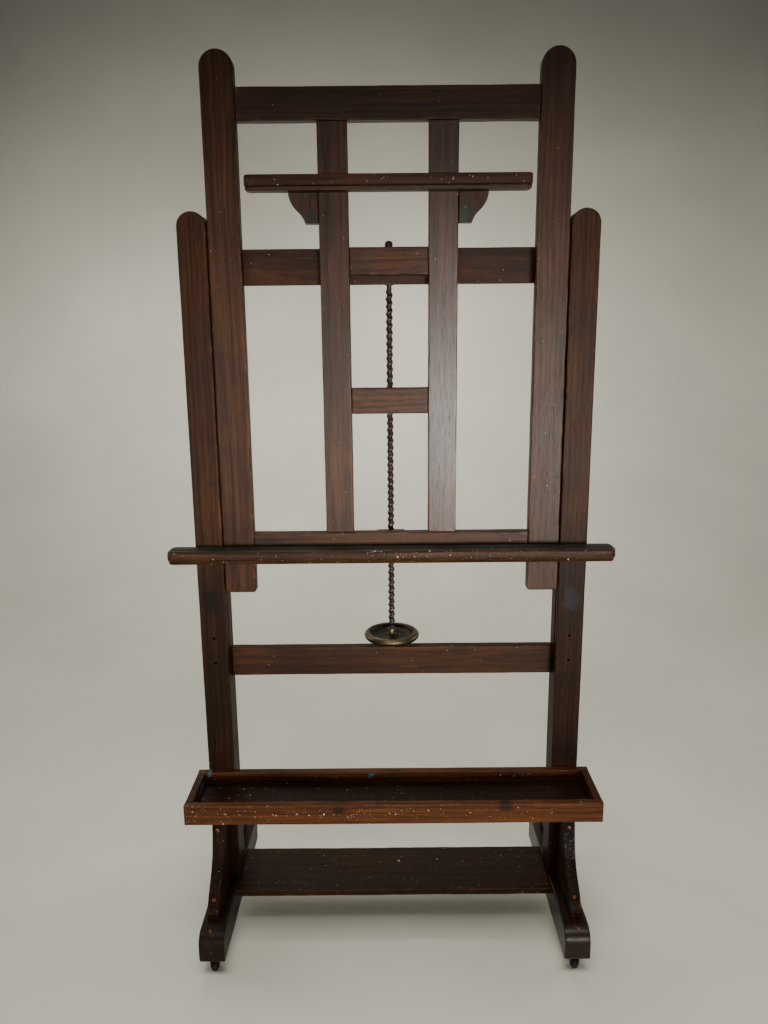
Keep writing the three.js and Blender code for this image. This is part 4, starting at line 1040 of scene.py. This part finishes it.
def screw_heads(name, body, slot, material, heads):
    """Slotted round heads. Each is a grid of radius and angle whose height is a dome, sunk where it lies
    in the slot; heads lists centre, outward direction, radius and turn of the slot."""
    all_points, all_faces, start = [], [], 0
    angle = np.arange(28) * (2 * math.pi / 28)
    share = np.concatenate([np.linspace(0, 0.93, 9), [1.0, 1.0, 0.0]])
    for centre, out, radius, turn in heads:
        out = Vector(out).normalized()
        basis = np.array(out.to_track_quat("Z", "Y").to_matrix())
        x = radius * share[:, None] * np.cos(angle)
        y = radius * share[:, None] * np.sin(angle)
        height = 0.42 * radius * np.sqrt(np.clip(1 - 0.8 * share ** 2, 0, 1))[:, None] * np.ones_like(x)
        across = x * math.sin(turn) - y * math.cos(turn)
        slotted = (np.abs(across) < 0.15 * radius) & (share[:, None] < 0.95)
        height = np.where(slotted, height - 0.30 * radius, height)
        height[-2:] = -1.5 * MM
        local = np.stack([x, y, height], -1).reshape(-1, 3)
        all_points.append(local @ basis.T + np.asarray(centre))
        all_faces += [[i + start for i in face] for face in grid_faces(len(share), len(angle))]
        start += len(local)
    piece = to_object(name, np.concatenate(all_points), all_faces, {"edge": 0.4, "splash": 0.0}, sharp=50)
    place(piece, body, slot, material)


class EASEL_OT_fasteners(bpy.types.Operator):
    """Sets the screws in the braces, feet and clamp keepers."""

    bl_idname = "easel.fasteners"
    bl_label = "Screws"

    def execute(self, context):
        copper = metal("copper_screw", COPPER, COPPER_STAIN, 0.6, 0.28, 200.0)
        base_heads = []
        low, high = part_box("brace_front_right")
        outline = brace_outline(low, high, ENDS["front"])
        for sign in SIDES.values():
            x = sign * (low.x + high.x) / 2
            for level, radius, turn in ((0.672, 4.6 * MM, 0.4), (0.17, 4.0 * MM, 1.9)):
                z = low.z + level * (high.z - low.z)
                front = outline[2:-1]
                near = int(np.argmin(np.abs(front[:, 1] - z)))
                slope = front[near + 1] - front[near - 1]
                out = Vector((0, slope[1], -slope[0]))
                if out.y > 0:
                    out = -out
                base_heads.append(((x, front[near, 0], front[near, 1]), out, radius, turn))
            foot_low, foot_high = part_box("foot_right")
            lean, toe = math.radians(24), 30 * MM
            base_heads.append(((x, foot_low.y + toe - toe * math.sin(lean), foot_high.z - toe + toe
                                * math.cos(lean)), (0, -math.sin(lean), math.cos(lean)), 3.8 * MM, 0.7))
        screw_heads("base_screws", "base", "steel", copper, base_heads)
        keepers = []
        for side, sign in SIDES.items():
            low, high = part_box("clamp_keeper_" + side)
            outer = from_middle(low, high)[1]
            for z in (low.z + 9 * MM, high.z - 9 * MM):
                keepers.append(((sign * (outer - 8 * MM), high.y, z), (0, 1, 0), 3 * MM, 0.5 + z))
        screw_heads("keeper_screws", "top_clamp", "brass", brass("brass_screws", 0.5), keepers)
        return {"FINISHED"}


# ---------------------------------------------------------------- stage
def area(name, at, target, width, tall, power, spread=180):
    """An area light at a place, turned towards a target, with its spread in degrees."""
    light = bpy.data.lights.new(name, "AREA")
    light.shape, light.size, light.size_y = "RECTANGLE", width, tall
    light.energy, light.color = power, LAMPLIGHT
    light.spread = math.radians(spread)
    lamp = add_object(name, light)
    lamp.location = at
    lamp.rotation_euler = (Vector(target) - lamp.location).to_track_quat("-Z", "Y").to_euler()


class EASEL_OT_stage(bpy.types.Operator):
    """Sets up the pale floor and backdrop, the soft lights and the camera."""

    bl_idname = "easel.stage"
    bl_label = "Stage"

    def execute(self, context):
        look = context.scene.easel_stage
        bend = np.linspace(0, math.pi / 2, 24)
        depth, sweep = 1.1, 2.3
        profile = np.concatenate([[(-9.0, 0.0), (-3.0, 0.0), (0.0, 0.0)],
                                  np.stack([depth + sweep * np.sin(bend), sweep * (1 - np.cos(bend))], 1),
                                  [(depth + sweep, 3.5), (depth + sweep, 8.0)]])
        across = np.linspace(-9.0, 9.0, 9)
        points = np.stack(np.broadcast_arrays(across[None], profile[:, :1], profile[:, 1:]), -1)
        rows, columns = points.shape[:2]
        r, c = np.meshgrid(np.arange(rows - 1), np.arange(columns - 1), indexing="ij")
        corner = r * columns + c
        faces = np.stack([corner, corner + 1, corner + columns + 1, corner + columns], -1).reshape(-1, 4)
        mesh = bpy.data.meshes.new("backdrop")
        mesh.from_pydata(points.reshape(-1, 3).tolist(), [], faces.tolist())
        mesh.shade_smooth()
        backdrop = add_object("backdrop", mesh)
        material, net, shader = new_material("backdrop_paper")
        spot = net.node("TexCoord").outputs["Object"]
        height = net.node("SeparateXYZ", {0: spot}).outputs["Z"]
        mottle = net.step(net.noise(spot, 1.3, 3.0, 0.5), 0.3, 0.7, 0.94, 1.04)
        # painted shade: the backdrop's colour darkens from 1.1 m up to 0.22 of it at 3.6 m, where the light
        # falls off towards the top; the mottle is the paper's own unevenness
        shade = net.math("MULTIPLY", mottle, net.step(height, 1.1, 3.6, 1.0, 0.22))
        tone = net.node("CombineXYZ", {i: net.math("MULTIPLY", shade, look.backdrop[i]) for i in range(3)})
        net.tree.links.new(tone.outputs[0], shader.inputs["Base Color"])
        shader.inputs["Roughness"].default_value = 0.75
        shader.inputs["Specular IOR Level"].default_value = 0.25
        mesh.materials.append(material)

        area("window", (1.15, -4.6, 0.72), (0.08, 0, 1.08), 1.8, 0.8, 15, 31)
        area("second_window", (-1.75, -4.5, 1.0), (-0.3, 0, 1.12), 1.5, 0.9, 3.0, 31)
        area("ceiling", (-0.4, 0.1, 4.4), (0, 0.3, 0.3), 3.2, 2.0, 5)
        area("back_fill", (-1.0, 2.3, 3.9), (0, 0, 0.9), 2.4, 1.4, 7, 80)
        for name, across in (("right_fill", 4.2), ("left_fill", -4.2)):
            area(name, (across, 0.9, 1.9), (0, 0.1, 1.0), 1.8, 2.2, 13, 80)
        area("floor_wash", (0.0, -1.7, 3.9), (0, -1.3, 0), 2.5, 1.2, 16, 62)
        area("wall_wash", (0.0, 1.4, 4.6), (0, 3.4, 0.5), 5.0, 0.8, 48, 120)
        world = bpy.data.worlds.new("studio_air")
        world.use_nodes = True
        air = world.node_tree.nodes["Background"]
        air.inputs["Color"].default_value = (0.93, 0.95, 1.0, 1)
        air.inputs["Strength"].default_value = 0.15
        context.scene.world = world

        camera = bpy.data.cameras.new("camera")
        camera.lens = look.lens
        camera.sensor_width = 36
        camera.shift_x, camera.shift_y = look.shift
        camera.clip_end = 60
        eye = add_object("camera", camera)
        turn = (Matrix.Rotation(-look.pan, 4, "Z") @ Matrix.Rotation(math.pi / 2 - look.tilt, 4, "X")
                @ Matrix.Rotation(-look.roll, 4, "Z"))
        eye.matrix_world = Matrix.Translation(Vector(look.stand)) @ turn
        context.scene.camera = eye
        return {"FINISHED"}


# ---------------------------------------------------------------- the add-on
GROUPS = {"easel_timber": EaselTimber, "easel_metal": EaselMetal, "easel_stage": EaselStage}
STEPS = (EASEL_OT_stage, EASEL_OT_posts, EASEL_OT_base_rails, EASEL_OT_feet, EASEL_OT_tray,
         EASEL_OT_sliding_frame, EASEL_OT_canvas_shelf, EASEL_OT_clamp, EASEL_OT_lead_screw,
         EASEL_OT_handwheel, EASEL_OT_casters, EASEL_OT_fasteners)


class EASEL_PT_panel(bpy.types.Panel):
    """Lists the easel's pieces in the sidebar."""

    bl_idname = "EASEL_PT_panel"
    bl_label = "Studio Easel"
    bl_space_type = "VIEW_3D"
    bl_region_type = "UI"
    bl_category = "Easel"

    def draw(self, context):
        for step in STEPS:
            self.layout.operator(step.bl_idname)


def register():
    for group in GROUPS.values():
        bpy.utils.register_class(group)
    for step in STEPS:
        bpy.utils.register_class(step)
    bpy.utils.register_class(EASEL_PT_panel)
    for key, group in GROUPS.items():
        setattr(bpy.types.Scene, key, PointerProperty(type=group))


def unregister():
    for key in GROUPS:
        delattr(bpy.types.Scene, key)
    bpy.utils.unregister_class(EASEL_PT_panel)
    for step in reversed(STEPS):
        bpy.utils.unregister_class(step)
    for group in reversed(list(GROUPS.values())):
        bpy.utils.unregister_class(group)


def main():
    register()
    for step in STEPS:
        getattr(bpy.ops.easel, step.bl_idname.split(".")[1])()


if __name__ == "__main__":
    main()
